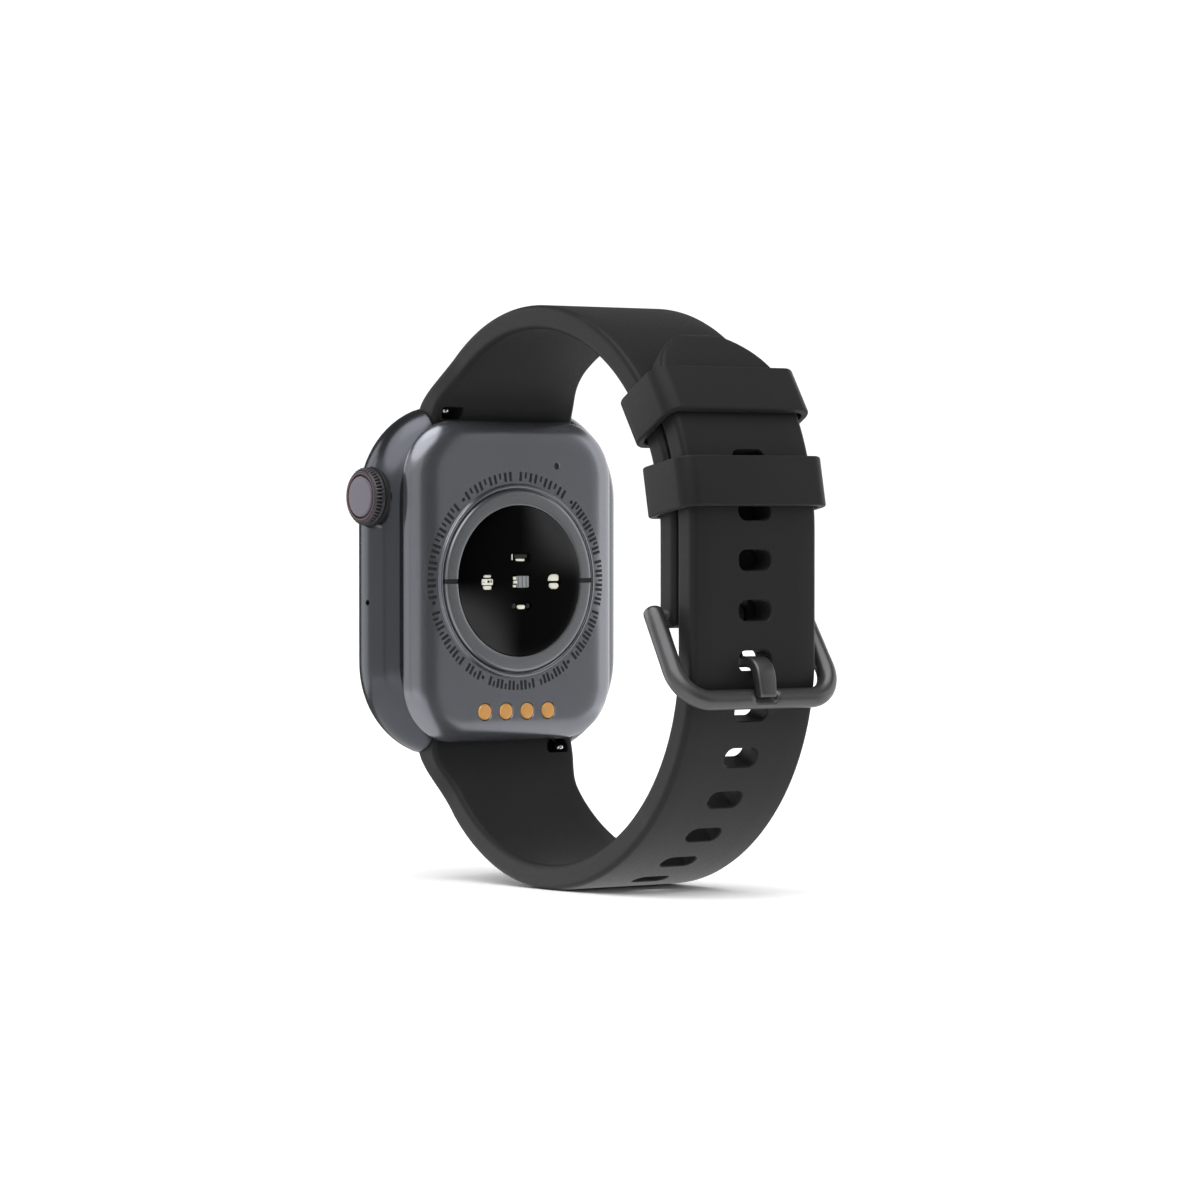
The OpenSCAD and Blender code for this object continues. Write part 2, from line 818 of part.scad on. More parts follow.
module buckle_bar() {
    color([0.5, 0.5, 0.52]) rod_x(pivot_r, -12, 12, pivot_y, pivot_z);
}

module buckle_tongue() {
    color([0.34, 0.34, 0.36])
    difference() {
        union() {
            rod_x(1.4, -tongue_w / 2, tongue_w / 2, pivot_y, pivot_z);
            side_extrude(tongue_w) stroke([
                [pivot_y, pivot_z], [pivot_y + 0.4, tongue_z + 0.9], [pivot_y + 1.2, tongue_z],
                [pivot_y + 5.6, tongue_z], [pivot_y + 6.5, tongue_z - 0.9], [pivot_y + 7.15, tongue_z - 3.9]
            ], tongue_r);
        }
        rod_x(pivot_r + 0.05, -12, 12, pivot_y, pivot_z);
    }
}

case_body();
display_glass();
display_adhesive();
display_panel();
display_flex();
inner_bracket();
battery();
battery_tape();
main_board();
shield_can();
board_screws();
antenna();
microphone();
speaker();
speaker_mesh();
motor_can();
motor_shaft();
motor_weight();
sensor_board();
sensor_leds();
photodiode();
light_baffle();
sensor_lens();
sensor_ring_upper();
sensor_ring_lower();
ring_insulators();
back_cover();
back_gasket();
charging_pads();
pad_pins();
charging_flex();
charging_magnets();
crown_bushing();
crown_shaft();
crown_knob();
crown_cap();
crown_accent_ring();
crown_seal();
crown_oring();
crown_clip();
encoder_wheel();
encoder_sensor();
crown_plunger();
press_switch();
upper_strap();
lower_strap();
upper_bar_tube();
upper_fixed_pin();
upper_release_pin();
upper_bar_spring();
lower_bar_tube();
lower_fixed_pin();
lower_release_pin();
lower_bar_spring();
keeper_upper();
keeper_lower();
buckle_frame();
buckle_bar();
buckle_tongue();
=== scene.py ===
import json
import math

import bmesh
import bpy
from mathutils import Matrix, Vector


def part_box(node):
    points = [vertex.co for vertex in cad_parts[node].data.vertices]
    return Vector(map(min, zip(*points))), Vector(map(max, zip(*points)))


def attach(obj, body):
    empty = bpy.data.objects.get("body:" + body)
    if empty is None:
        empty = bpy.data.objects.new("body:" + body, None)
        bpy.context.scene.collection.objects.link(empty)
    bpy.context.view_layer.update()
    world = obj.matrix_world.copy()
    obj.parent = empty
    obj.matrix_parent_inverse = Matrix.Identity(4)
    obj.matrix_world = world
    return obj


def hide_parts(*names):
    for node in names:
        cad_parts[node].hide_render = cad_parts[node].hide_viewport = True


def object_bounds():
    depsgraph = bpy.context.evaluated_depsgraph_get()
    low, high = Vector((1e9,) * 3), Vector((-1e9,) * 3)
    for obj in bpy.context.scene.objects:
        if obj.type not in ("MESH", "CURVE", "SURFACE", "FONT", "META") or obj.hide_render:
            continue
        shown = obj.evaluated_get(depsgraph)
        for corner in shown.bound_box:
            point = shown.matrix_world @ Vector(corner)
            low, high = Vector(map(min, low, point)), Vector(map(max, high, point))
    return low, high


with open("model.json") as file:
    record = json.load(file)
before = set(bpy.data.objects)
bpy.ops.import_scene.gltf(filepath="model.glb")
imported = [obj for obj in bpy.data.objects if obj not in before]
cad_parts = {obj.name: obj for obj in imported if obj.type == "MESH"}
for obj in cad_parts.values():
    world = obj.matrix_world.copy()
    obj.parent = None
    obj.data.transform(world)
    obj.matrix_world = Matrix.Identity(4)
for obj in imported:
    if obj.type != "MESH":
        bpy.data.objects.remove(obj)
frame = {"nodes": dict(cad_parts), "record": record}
cad_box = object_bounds()

# Lengths below are millimetres in the CAD frame: +X crown side, +Y towards the wrist, +Z twelve o'clock.
MM = 0.001


def node_box(node):
    """A CAD node's lowest and highest corner, in millimetres."""
    low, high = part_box(node)
    return [c / MM for c in low], [c / MM for c in high]


# ---- Dimensions taken from the frame ----

glass_high = node_box("display_glass")[1]
case_high = node_box("case_body")[1]
cover_high = node_box("back_cover")[1]
ring_high = node_box("sensor_ring_upper")[1]
lens_high = node_box("sensor_lens")[1]
knob_low, knob_high = node_box("crown_knob")

CASE_HALF_W = case_high[0]
SEAM_Y = case_high[1]
COVER_HALF_W, COVER_HALF_H = cover_high[0], cover_high[2]
COVER_BASE_Y = SEAM_Y + 0.1
BACK_Y = cover_high[1]
RING_R, RING_TOP = ring_high[0], ring_high[1]
LENS_R, LENS_TOP = lens_high[0], lens_high[1]
CROWN_Y = (knob_low[1] + knob_high[1]) / 2
CROWN_Z = (knob_low[2] + knob_high[2]) / 2
KNOB_X = knob_low[0]
KNOB_FRONT_X = KNOB_X + 1.5

# ---- Dimensions shared by several pieces ----

# Case and back cover
CASE_HALF_H = 22.0
CASE_CORNER = 11.9
SIDE_R = 4.0
COVER_CORNER = 7.5
COVER_EDGE_W, COVER_EDGE_H = 4.4, 3.0
RING_FOOT_Y = 9.4
PAD_FOOT_Y, PAD_GAP = 9.2, 0.07
VENT_X, VENT_Z, VENT_R = -6.35, 14.4, 0.38
LENS_OPENING_R = 8.8
PAST_BACK_Y = 12
# Cavities: half width, half height and corner radius
CASE_CAVITY = (15.8, 15.6, 4)
COVER_CAVITY = (14.6, 14.4, 3.8)

# Spring bars and the strap's ends between the lugs
BAR_Y, BAR_Z = 5.2, 19.4
BARREL_R = 2.1
BAR_BORE_R = 0.8
LUG_HALF_W = 10.9
STRAP_HALF_W = 9.5
STRAP_EDGE = 0.7
RELEASE_X = 9.0
RELEASE_ANGLE = 48

# Strap loop: centres as (y, z), outer radii, thicknesses and turns in degrees
LOOP = (25.8, 6.2)
UPPER_R, UPPER_T = 27.5, 3.0
TAIL_R, TAIL_T = 31.0, 3.1
TAIL_MID = (28.1, -8.5)
TAIL_MID_R = LOOP[0] + TAIL_R - TAIL_MID[0]
UPPER_LUG_R, UPPER_LUG_TURN = 25.6, 46
TAIL_LUG_R, TAIL_LUG_TURN = 26.3, 53.2
TIP_ANGLE = 50.5
LUG_ZONE_Y = 14
SLOT_COUNT, SLOT_PITCH = 11, 5.95
SLOT_HALF_L, SLOT_HALF_W, SLOT_INSET = 2.55, 1.35, 0.1
KEEPER_WALL, KEEPER_LEN = 1.0, 6.0

# Buckle: its pivot as (y, z), the tongue, and the frame's wire, arms and tilt in degrees
PIVOT = (LOOP[0] + UPPER_R - UPPER_T / 2, -3.6)
TONGUE_Z = -9.1
TONGUE_W, TONGUE_T = 2.7, 1.3
WIRE_R = 1.2
FRAME_HALF_W, FRAME_LEN, FRAME_TILT = 11.6, 11.5, 31
FRAME_BEND_R = 4.0
TAIL_LIFT = 0.06


# ---- Mesh helpers ----

class Shell:
    """Points in millimetres and the faces between them."""

    def __init__(self):
        self.points = []
        self.faces = []

    def loft(self, rings, closed=False):
        """Skins rings of equal point count and caps both ends. A closed loft joins them instead."""
        base, count = len(self.points), len(rings[0])
        for ring in rings:
            self.points.extend(ring)
        steps = len(rings) if closed else len(rings) - 1
        for i in range(steps):
            a, b = base + i * count, base + (i + 1) % len(rings) * count
            for k in range(count):
                m = (k + 1) % count
                self.faces.append((a + k, a + m, b + m, b + k))
        if not closed:
            self.faces.append(tuple(base + k for k in reversed(range(count))))
            last = base + (len(rings) - 1) * count
            self.faces.append(tuple(last + k for k in range(count)))
        return self


def new_object(name, shell):
    """A closed mesh object in metres, with its normals outwards."""
    mesh = bpy.data.meshes.new(name)
    mesh.from_pydata([Vector(p) * MM for p in shell.points], [], shell.faces)
    work = bmesh.new()
    work.from_mesh(mesh)
    bmesh.ops.remove_doubles(work, verts=work.verts, dist=0.0005 * MM)
    bmesh.ops.recalc_face_normals(work, faces=work.faces)
    work.to_mesh(mesh)
    work.free()
    piece = bpy.data.objects.new(name, mesh)
    bpy.context.scene.collection.objects.link(piece)
    return piece


def lofted(name, rings, closed=False):
    """A new piece from one stack of rings."""
    return new_object(name, Shell().loft(rings, closed))


def combine(piece, shell, operation="DIFFERENCE"):
    """Cuts a closed shell out of a piece, or joins it on with UNION."""
    tool = new_object("tool", shell)
    step = piece.modifiers.new("combine", "BOOLEAN")
    step.operation = operation
    step.solver = "EXACT"
    step.object = tool
    graph = bpy.context.evaluated_depsgraph_get()
    mesh = bpy.data.meshes.new_from_object(piece.evaluated_get(graph))
    old = piece.data
    piece.modifiers.clear()
    piece.data = mesh
    bpy.data.meshes.remove(old)
    bpy.data.objects.remove(tool)


def cut(piece, rings):
    """Cuts one capped stack of rings out of a piece."""
    combine(piece, Shell().loft(rings))


def finish_piece(piece, material, body, nodes=(), sharp=34):
    """Gives the piece its material, shades it smooth with creases, hooks it to its body and hides the CAD
    nodes it stands in for.
    """
    name = piece.name
    piece.data.materials.clear()
    piece.data.materials.append(material)
    piece.data.shade_smooth()
    piece.data.set_sharp_from_angle(angle=math.radians(sharp))
    piece.data.name = name
    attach(piece, body)
    if nodes:
        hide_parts(*nodes)
    return piece


def between(a, b, t):
    """The pair that lies a share t of the way from pair a to pair b."""
    return a[0] + (b[0] - a[0]) * t, a[1] + (b[1] - a[1]) * t


def polar(centre, radius, turn):
    """The pair at a radius and a turn in radians round a centre pair."""
    return centre[0] + radius * math.cos(turn), centre[1] + radius * math.sin(turn)


def arc_points(centre, radius, start, stop, steps):
    """Points on an arc in any plane, as pairs. Angles are in degrees."""
    turns = [math.radians(start + (stop - start) * i / steps) for i in range(steps + 1)]
    return [polar(centre, radius, turn) for turn in turns]


def rounded_outline(half_a, half_b, radius, steps=12, side_steps=1):
    """Points (a, b) round a rounded rectangle, with steps segments in a corner and side_steps on a side."""
    corners = []
    for sign_a, sign_b, start in ((1, 1, 0), (-1, 1, 90), (-1, -1, 180), (1, -1, 270)):
        centre = (sign_a * (half_a - radius), sign_b * (half_b - radius))
        corners.append(arc_points(centre, radius, start, start + 90, steps))
    points = []
    for corner, following in zip(corners, corners[1:] + corners[:1]):
        points += corner
        points += [between(corner[-1], following[0], i / side_steps) for i in range(1, side_steps)]
    return points


def plate_ring(half_w, half_h, radius, y, steps=16, side_steps=1):
    """Rounded rectangle facing along Y."""
    return [(a, y, b) for a, b in rounded_outline(half_w, half_h, radius, steps, side_steps)]


def lathe_x(profile, y, z, count=96, shape=None):
    """Rings round an axis along X from (x, radius) pairs. shape(turn, index) offsets the radius."""
    turns = [2 * math.pi * k / count for k in range(count)]
    rings = []
    for index, (x, radius) in enumerate(profile):
        radii = [radius + (shape(turn, index) if shape else 0) for turn in turns]
        rings.append([(x, *polar((y, z), r, turn)) for r, turn in zip(radii, turns)])
    return rings


def lathe_y(profile, x, z, count=96):
    """Rings round an axis along Y from (radius, y) pairs."""
    turns = [2 * math.pi * k / count for k in range(count)]
    return [[(x + r * math.cos(t), y, z + r * math.sin(t)) for t in turns] for r, y in profile]


def blocks(x, z, half_w, half_h, corner, levels, steps):
    """Rings of a rounded block that faces along Y, from (grow, y) pairs."""
    rings = []
    for grow, y in levels:
        outline = rounded_outline(half_w + grow, half_h + grow, max(corner + grow, 0.01), steps)
        rings.append([(x + a, y, z + b) for a, b in outline])
    return rings


def bore_x(piece, low, high, radius, y, z, count=96):
    """Drills a round hole along X from low to high."""
    cut(piece, lathe_x([(low, radius), (high, radius)], y, z, count))


def smooth_step(low, high, value):
    """0 below low, 1 above high and a soft ramp between."""
    t = min(max((value - low) / (high - low), 0), 1)
    return t * t * (3 - 2 * t)


# ---- Materials ----

WORN_GAIN, WORN_LIFT = 2.2, 0.02
RING_WAVE = 0.314


def linear(srgb):
    """An 8-bit display colour as the linear value that shaders use."""
    channels = [c / 255 / 12.92 if c <= 10 else ((c / 255 + 0.055) / 1.055) ** 2.4 for c in srgb]
    return tuple(channels) + (1,)


def shaded(colour, factor, lift=0.0):
    """A linear colour made lighter or darker, with full alpha."""
    return tuple(min(c * factor + lift, 1) for c in colour[:3]) + (1,)


def add_node(tree, kind, values, **settings):
    """A new shader node with its settings, and its input values by name."""
    node = tree.nodes.new("ShaderNode" + kind)
    for key, value in settings.items():
        setattr(node, key, value)
    for key, value in values.items():
        node.inputs[key].default_value = value
    return node


def link(tree, source, output, target, entry):
    """Joins one node's output to another node's input."""
    tree.links.new(source.outputs[output], target.inputs[entry])


def worn_edges(tree, tone, colour, wear):
    """Mixes a lighter colour into a tone along the convex edges."""
    edges = add_node(tree, "NewGeometry", {})
    ramp = add_node(tree, "MapRange", {"From Min": 0.52, "From Max": 0.62, "To Max": wear})
    worn = add_node(tree, "Mix", {"B": shaded(colour, WORN_GAIN, WORN_LIFT)}, data_type="RGBA")
    link(tree, edges, "Pointiness", ramp, "Value")
    link(tree, ramp, "Result", worn, "Factor")
    tree.links.new(tone, worn.inputs["A"])
    return worn.outputs["Result"]


def turned_rings(tree, place, axis, centre, pitch):
    """Height of fine lathe rings round an axis through a centre in millimetres."""
    shift = add_node(tree, "Mapping", {"Location": [-c * MM for c in centre]})
    scale = RING_WAVE / (pitch * MM)
    turned = add_node(
        tree, "TexWave", {"Scale": scale, "Distortion": 0.4}, wave_type="RINGS", rings_direction=axis)
    link(tree, place, "Object", shift, "Vector")
    link(tree, shift, "Vector", turned, "Vector")
    return turned.outputs["Fac"]


def surface(
    name, colour, rough, metallic=0.0, specular=0.5, cloud=0.08, cloud_size=4.0, grain=0.05,
    grain_size=0.12, bump=0.25, depth=0.01, wear=0.0, coat=0.0, coat_rough=0.1, rings=None, sheen=0.0,
):
    """A procedural surface: cloudy colour, fine grain in roughness and relief, and lighter worn edges.

    Sizes and the relief's depth are in millimetres. rings is an axis, a centre and a pitch.
    """
    material = bpy.data.materials.new(name)
    material.use_nodes = True
    tree = material.node_tree
    links = tree.links
    shader = tree.nodes["Principled BSDF"]
    finish = {"Metallic": metallic, "Specular IOR Level": specular, "Coat Weight": coat,
              "Coat Roughness": coat_rough, "Sheen Weight": sheen}
    for key, value in finish.items():
        shader.inputs[key].default_value = value
    place = add_node(tree, "TexCoord", {})

    def noise(size, detail):
        texture = add_node(tree, "TexNoise", {"Scale": 1 / (size * MM), "Detail": detail})
        link(tree, place, "Object", texture, "Vector")
        return texture.outputs["Fac"]

    clouds = {"A": shaded(colour, 1 - cloud), "B": shaded(colour, 1 + cloud)}
    mix = add_node(tree, "Mix", clouds, data_type="RGBA")
    links.new(noise(cloud_size, 4), mix.inputs["Factor"])
    tone = mix.outputs["Result"]
    if wear:
        tone = worn_edges(tree, tone, colour, wear)
    links.new(tone, shader.inputs["Base Color"])
    fine = noise(grain_size, 3)
    reach = add_node(tree, "MapRange", {
        "From Min": 0.3, "From Max": 0.7, "To Min": rough - grain, "To Max": rough + grain})
    links.new(fine, reach.inputs["Value"])
    link(tree, reach, "Result", shader, "Roughness")
    relief = add_node(tree, "Bump", {"Strength": bump, "Distance": depth * MM})
    links.new(turned_rings(tree, place, *rings) if rings else fine, relief.inputs["Height"])
    link(tree, relief, "Normal", shader, "Normal")
    return material


case_metal = surface(
    "case_metal", linear((76, 78, 83)), 0.24, metallic=0.9, cloud=0.05, grain=0.02, grain_size=0.16,
    bump=0.05, depth=0.002)
cover_metal = surface(
    "cover_metal", linear((126, 128, 134)), 0.25, metallic=0.85, cloud=0.04, grain=0.02,
    grain_size=0.2, bump=0.04, depth=0.002)
ring_metal = surface(
    "ring_metal", linear((126, 128, 131)), 0.3, metallic=0.8, cloud=0.05, grain=0.03, grain_size=0.2,
    bump=0.06, depth=0.002)
silicone = surface(
    "silicone", linear((21, 21, 22)), 0.48, specular=0.17, cloud=0.12, cloud_size=9.0, grain=0.08,
    grain_size=0.16, bump=0.4, depth=0.02, wear=0.1, sheen=0.04)
buckle_metal = surface(
    "buckle_metal", linear((84, 84, 85)), 0.34, metallic=0.8, cloud=0.07, cloud_size=3.0, grain_size=0.12,
    bump=0.35, depth=0.01, wear=0.3)
crown_metal = surface(
    "crown_metal", linear((70, 67, 70)), 0.38, metallic=0.8, cloud=0.06, cloud_size=1.5, grain_size=0.08,
    bump=0.35, depth=0.008, wear=0.35)
crown_face = surface(
    "crown_face", linear((92, 89, 98)), 0.36, metallic=0.75, cloud=0.05, cloud_size=1.5, grain_size=0.08,
    bump=0.12, depth=0.004, rings=("X", (0, CROWN_Y, CROWN_Z), 0.12))
crown_red = surface(
    "crown_red", linear((86, 60, 64)), 0.4, metallic=0.5, cloud_size=0.8, grain_size=0.06)
black_glass = surface(
    "black_glass", linear((7, 7, 8)), 0.07, cloud=0.2, cloud_size=6.0, grain=0.02, grain_size=0.6,
    bump=0.03, depth=0.002, coat=0.4, coat_rough=0.04)
lens_glass = surface(
    "lens_glass", linear((3, 3, 3)), 0.22, specular=0.05, cloud=0.2, cloud_size=3.0, grain=0.02,
    grain_size=0.5, bump=0.02, depth=0.001)
window_dark = surface(
    "window_dark", linear((24, 24, 25)), 0.2, specular=0.6, cloud=0.2, cloud_size=0.6, grain_size=0.1)
# Cream of the emitter chips, also used for the painted highlights in the lens slots
cream_led_and_highlight = surface(
    "cream_led_and_highlight", linear((214, 212, 196)), 0.32, specular=0.7, cloud=0.12, cloud_size=0.4, grain_size=0.08,
    bump=0.4, depth=0.02)
sensor_silver = surface(
    "sensor_silver", linear((150, 153, 156)), 0.35, metallic=0.4, cloud=0.3, cloud_size=0.35, grain_size=0.08,
    bump=0.4, depth=0.02)
gold_pad = surface(
    "gold_pad", linear((214, 158, 92)), 0.42, metallic=0.55, cloud=0.1, cloud_size=0.7, grain=0.08,
    grain_size=0.07, bump=0.5, depth=0.01, wear=0.2)
polished_steel = surface(
    "polished_steel", linear((205, 205, 208)), 0.2, metallic=1.0, cloud=0.04, cloud_size=0.8, grain_size=0.06,
    bump=0.15, depth=0.004)
# Black rubber of the crown's skirt, also used as painted shade on the floor of the crown's groove
black_seal_and_shade = surface(
    "black_seal_and_shade", linear((16, 16, 17)), 0.6, specular=0.3, cloud=0.1, cloud_size=1.5, grain_size=0.08)
printed_ink = surface(
    "printed_ink", linear((24, 25, 27)), 0.55, specular=0.3, cloud=0.15, cloud_size=0.5, grain_size=0.05)
# Black of the ring's insulating bars, also used as painted shade in the pinhole, on the crown's bearing parts
# and on the speaker's mesh
black_insert_and_shade = surface(
    "black_insert_and_shade", linear((20, 20, 21)), 0.45, specular=0.4, cloud=0.1, cloud_size=0.8, grain_size=0.06)


def add_painted_lens_sheen(material, colour):
    """Paints a sheen into the lens colour: lightens two opposite quarters of the lens, where the product of x
    and z is below zero.
    """
    tree = material.node_tree
    links = tree.links
    place = add_node(tree, "TexCoord", {})
    split = add_node(tree, "SeparateXYZ", {})
    product = add_node(tree, "Math", {}, operation="MULTIPLY")
    span = {"From Min": 2 * MM * MM, "From Max": -34 * MM * MM}
    reach = add_node(tree, "MapRange", span, interpolation_type="SMOOTHSTEP")
    painted_sheen = add_node(tree, "Mix", {"B": colour}, data_type="RGBA")
    link(tree, place, "Object", split, "Vector")
    link(tree, split, "X", product, 0)
    link(tree, split, "Z", product, 1)
    link(tree, product, "Value", reach, "Value")
    link(tree, reach, "Result", painted_sheen, "Factor")
    base = tree.nodes["Principled BSDF"].inputs["Base Color"]
    links.new(base.links[0].from_socket, painted_sheen.inputs["A"])
    links.new(painted_sheen.outputs["Result"], base)


# Painted sheen: a quartered reflection painted into the lens colour
add_painted_lens_sheen(lens_glass, linear((47, 47, 48)))

# ---- Case ----

SIDE_HOLE_Y = 4.5
MICROPHONE_Z, MICROPHONE_R = -2.6, 0.34
SPEAKER_Z, SPEAKER_PITCH = -6.2, 3.2
CROWN_WELL_X, CROWN_WELL_R = 18.16, 3.95
CROWN_BORE_R = 1.72
INSIDE_X, OUTSIDE_X = 14, 25
LUG_BORE_X, LUG_BORE_R = 12.6, 0.45


def side_half(y):
    """How far the case's side reaches beyond its corner axes at depth y."""
    return CASE_CORNER - SIDE_R + math.sqrt(max(SIDE_R ** 2 - (y - SIDE_R) ** 2, 0))


def case_ring(reach, y):
    """Outline of the case where its side is at a given distance from the corner axes."""
    inset = CASE_CORNER - reach
    return plate_ring(CASE_HALF_W - inset, CASE_HALF_H - inset, CASE_CORNER - inset, y, 18, 16)


def cut_lug(case, side):
    """Opens the pocket of a strap's end and drills the bores of its spring bar."""
    half, far = LUG_HALF_W + 0.2, 30
    outline = arc_points((BAR_Y, BAR_Z), BARREL_R + 0.3, 180, 360, 24)
    outline = [(2.8, far)] + outline + [(9, BAR_Z), (9, far)]
    cut(case, [[(x, y, side * z) for y, z in outline] for x in (-half, half)])
    bore_x(case, -LUG_BORE_X, LUG_BORE_X, LUG_BORE_R, BAR_Y, side * BAR_Z, 32)


def make_case():
    """Case with rounded sides, hollow inside, with its lug pockets and the holes in its sides."""
    glass_gap = glass_high[0] + 0.08
    pocket = CASE_CORNER - (CASE_HALF_W - glass_gap)
    rings = [case_ring(pocket, 1.3), case_ring(pocket, 0.95), case_ring(pocket + 0.04, 0.82)]
    first, last, count = 0.78, SEAM_Y - 0.1, 26
    for i in range(count + 1):
        y = first + (last - first) * i / count
        rings.append(case_ring(side_half(y), y))
    rings.append(case_ring(side_half(last) - 0.12, SEAM_Y - 0.015))
    rings.append(case_ring(side_half(last) - 0.3, SEAM_Y))
    case = lofted("case_shell", rings)
    cut(case, [plate_ring(*CASE_CAVITY, y) for y in (0.5, 9)])
    for side in (1, -1):
        cut_lug(case, side)
    bore_x(case, CROWN_WELL_X, OUTSIDE_X, CROWN_WELL_R, CROWN_Y, CROWN_Z)
    bore_x(case, INSIDE_X, 19, CROWN_BORE_R, CROWN_Y, CROWN_Z, 48)
    bore_x(case, INSIDE_X, OUTSIDE_X, MICROPHONE_R, SIDE_HOLE_Y, MICROPHONE_Z, 24)
    slots = Shell()
    outline = rounded_outline(1.0, 0.4, 0.39, 6)
    for i in (-1, 0, 1):
        middle = i * SPEAKER_PITCH + SPEAKER_Z
        slots.loft([[(x, SIDE_HOLE_Y + b, middle + a) for a, b in outline] for x in (-OUTSIDE_X, -INSIDE_X)])
    combine(case, slots)
    finish_piece(case, case_metal, "watch", ["case_body"])


def make_glass():
    """Flat front glass with a rounded rim."""
    half_w, half_h = glass_high[0] - 0.02, glass_high[2] - 0.02
    top_inset, corner, rim = 2.2, 9.8, 0.75
    rings = []
    for i in range(11):
        turn = math.radians(90 * i / 10)
        inset = top_inset * (1 - math.sin(turn))
        y = rim * (1 - math.cos(turn))
        rings.append(plate_ring(half_w - inset, half_h - inset, corner - inset, y))
    flat = [half - top_inset - 0.3 for half in (half_w, half_h, corner)]
    rings.insert(0, plate_ring(*flat, 0))
    rings.append(plate_ring(half_w, half_h, corner, 1.1))
    glass = lofted("front_glass", rings)
    finish_piece(glass, black_glass, "watch", ["display_glass"])


# ---- Back cover ----

def cover_rise(t):
    """Height of the cover's rounded edge, from 0 at its rim to 1 where the flat begins."""
    return (1 - (1 - t) ** 2.4) ** (1 / 1.9)


def cover_inset(t, y):
    """Outline of the cover where a share t of its rounded edge is passed."""
    across, along = COVER_EDGE_W * t, COVER_EDGE_H * t
    radius = COVER_CORNER - (across + along) / 2
    return plate_ring(COVER_HALF_W - across, COVER_HALF_H - along, radius, y, 18, 16)


def cover_height(x, z):
    """Y of the cover's outer surface over a point of the back."""
    low, high = 0.0, 1.0
    for _ in range(24):
        t = (low + high) / 2
        radius = COVER_CORNER - (COVER_EDGE_W + COVER_EDGE_H) * t / 2
        qx = abs(x) - (COVER_HALF_W - COVER_EDGE_W * t - radius)
        qz = abs(z) - (COVER_HALF_H - COVER_EDGE_H * t - radius)
        outside = math.hypot(max(qx, 0), max(qz, 0)) + min(max(qx, qz), 0) - radius
        low, high = (t, high) if outside < 0 else (low, t)
    return COVER_BASE_Y + (BACK_Y - COVER_BASE_Y) * cover_rise(low)


def make_cover():
    """Back cover with the ring's seat, the lens opening, the pad holes and the pinhole."""
    rings = [
        cover_inset(0.08, SEAM_Y + 0.005), cover_inset(0.02, SEAM_Y + 0.02), cover_inset(0.0, COVER_BASE_Y)]
    steps = 22
    for i in range(1, steps + 1):
        t = 1 - math.cos(math.pi / 2 * i / steps)
        rings.append(cover_inset(t, COVER_BASE_Y + (BACK_Y - COVER_BASE_Y) * cover_rise(t)))
    rings.append(cover_inset(1.08, BACK_Y))
    cover = lofted("back_shell", rings)
    cut(cover, lathe_y([(RING_R + 0.06, 9.35), (RING_R + 0.06, PAST_BACK_Y)], 0, 0, 160))
    cut(cover, lathe_y([(LENS_OPENING_R, 6), (LENS_OPENING_R, PAST_BACK_Y)], 0, 0, 96))
    holes = Shell()
    for x, z, radius in pad_places() + [(VENT_X, VENT_Z, VENT_R)]:
        flare = radius + 0.1
        profile = [(radius, PAD_FOOT_Y), (radius, BACK_Y - 0.1), (flare, BACK_Y + 0.01), (flare, PAST_BACK_Y)]
        holes.loft(lathe_y(profile, x, z, 48))
    combine(cover, holes)
    cut(cover, [plate_ring(*COVER_CAVITY, y) for y in (6, 8.6)])
    finish_piece(cover, cover_metal, "watch", ["back_cover"], sharp=30)


def make_vent_shade():
    """Black disc inside the pinhole: painted shade in the hole."""
    radius = 0.37
    plug = lofted("vent_shade", lathe_y([(radius, 9.6), (radius, BACK_Y - 0.12)], VENT_X, VENT_Z, 48))
    finish_piece(plug, black_insert_and_shade, "watch")


def make_lip():
    """Round lip that stands proud of the cover, just outside the ring."""
    low = RING_R + 0.07
    lip = [(low, 9.7), (low + 0.72, 9.7), (low + 0.7, BACK_Y + 0.02), (low + 0.62, BACK_Y + 0.12)]
    for degrees in range(15, 176, 16):
        a = math.radians(degrees)
        lip.append((low + 0.36 + 0.26 * math.cos(a), BACK_Y + 0.14 + 0.22 * math.sin(a)))
    lip.append((low, BACK_Y + 0.12))
    piece = lofted("cover_lip", lathe_y(lip, 0, 0, 160), closed=True)
    finish_piece(piece, cover_metal, "watch")


def pad_places():
    """Centre and hole radius of each charging pad."""
    low, high = node_box("charging_pads")
    z = (low[2] + high[2]) / 2
    radius = (high[2] - low[2]) / 2
    first, last = low[0] + radius, high[0] - radius
    return [(first + (last - first) * i / 3, z, radius + PAD_GAP) for i in range(4)]


def make_pads():
    """Four gold pads, a little proud of the cover, with rounded rims."""
    shell = Shell()
    for x, z, hole in pad_places():
        r = hole - PAD_GAP
        profile = [(r, PAD_FOOT_Y), (r, 9.93), (r - 0.05, 10.0), (r - 0.14, 10.045), (r - 0.3, 10.05)]
        shell.loft(lathe_y(profile, x, z, 48))
    finish_piece(new_object("contact_pads", shell), gold_pad, "watch", ["charging_pads"])


def ring_sector(profile, low_turn, high_turn, gap, steps):
    """Part of a ring whose two ends are flat and lie at a distance gap from the split line."""
    rings = []
    for i in range(steps + 1):
        ring = []
        for r, y in profile:
            edge = math.asin(gap / r)
            start, stop = low_turn + edge, high_turn - edge
            turn = start + (stop - start) * i / steps
            ring.append((r * math.cos(turn), y, r * math.sin(turn)))
        rings.append(ring)
    return rings


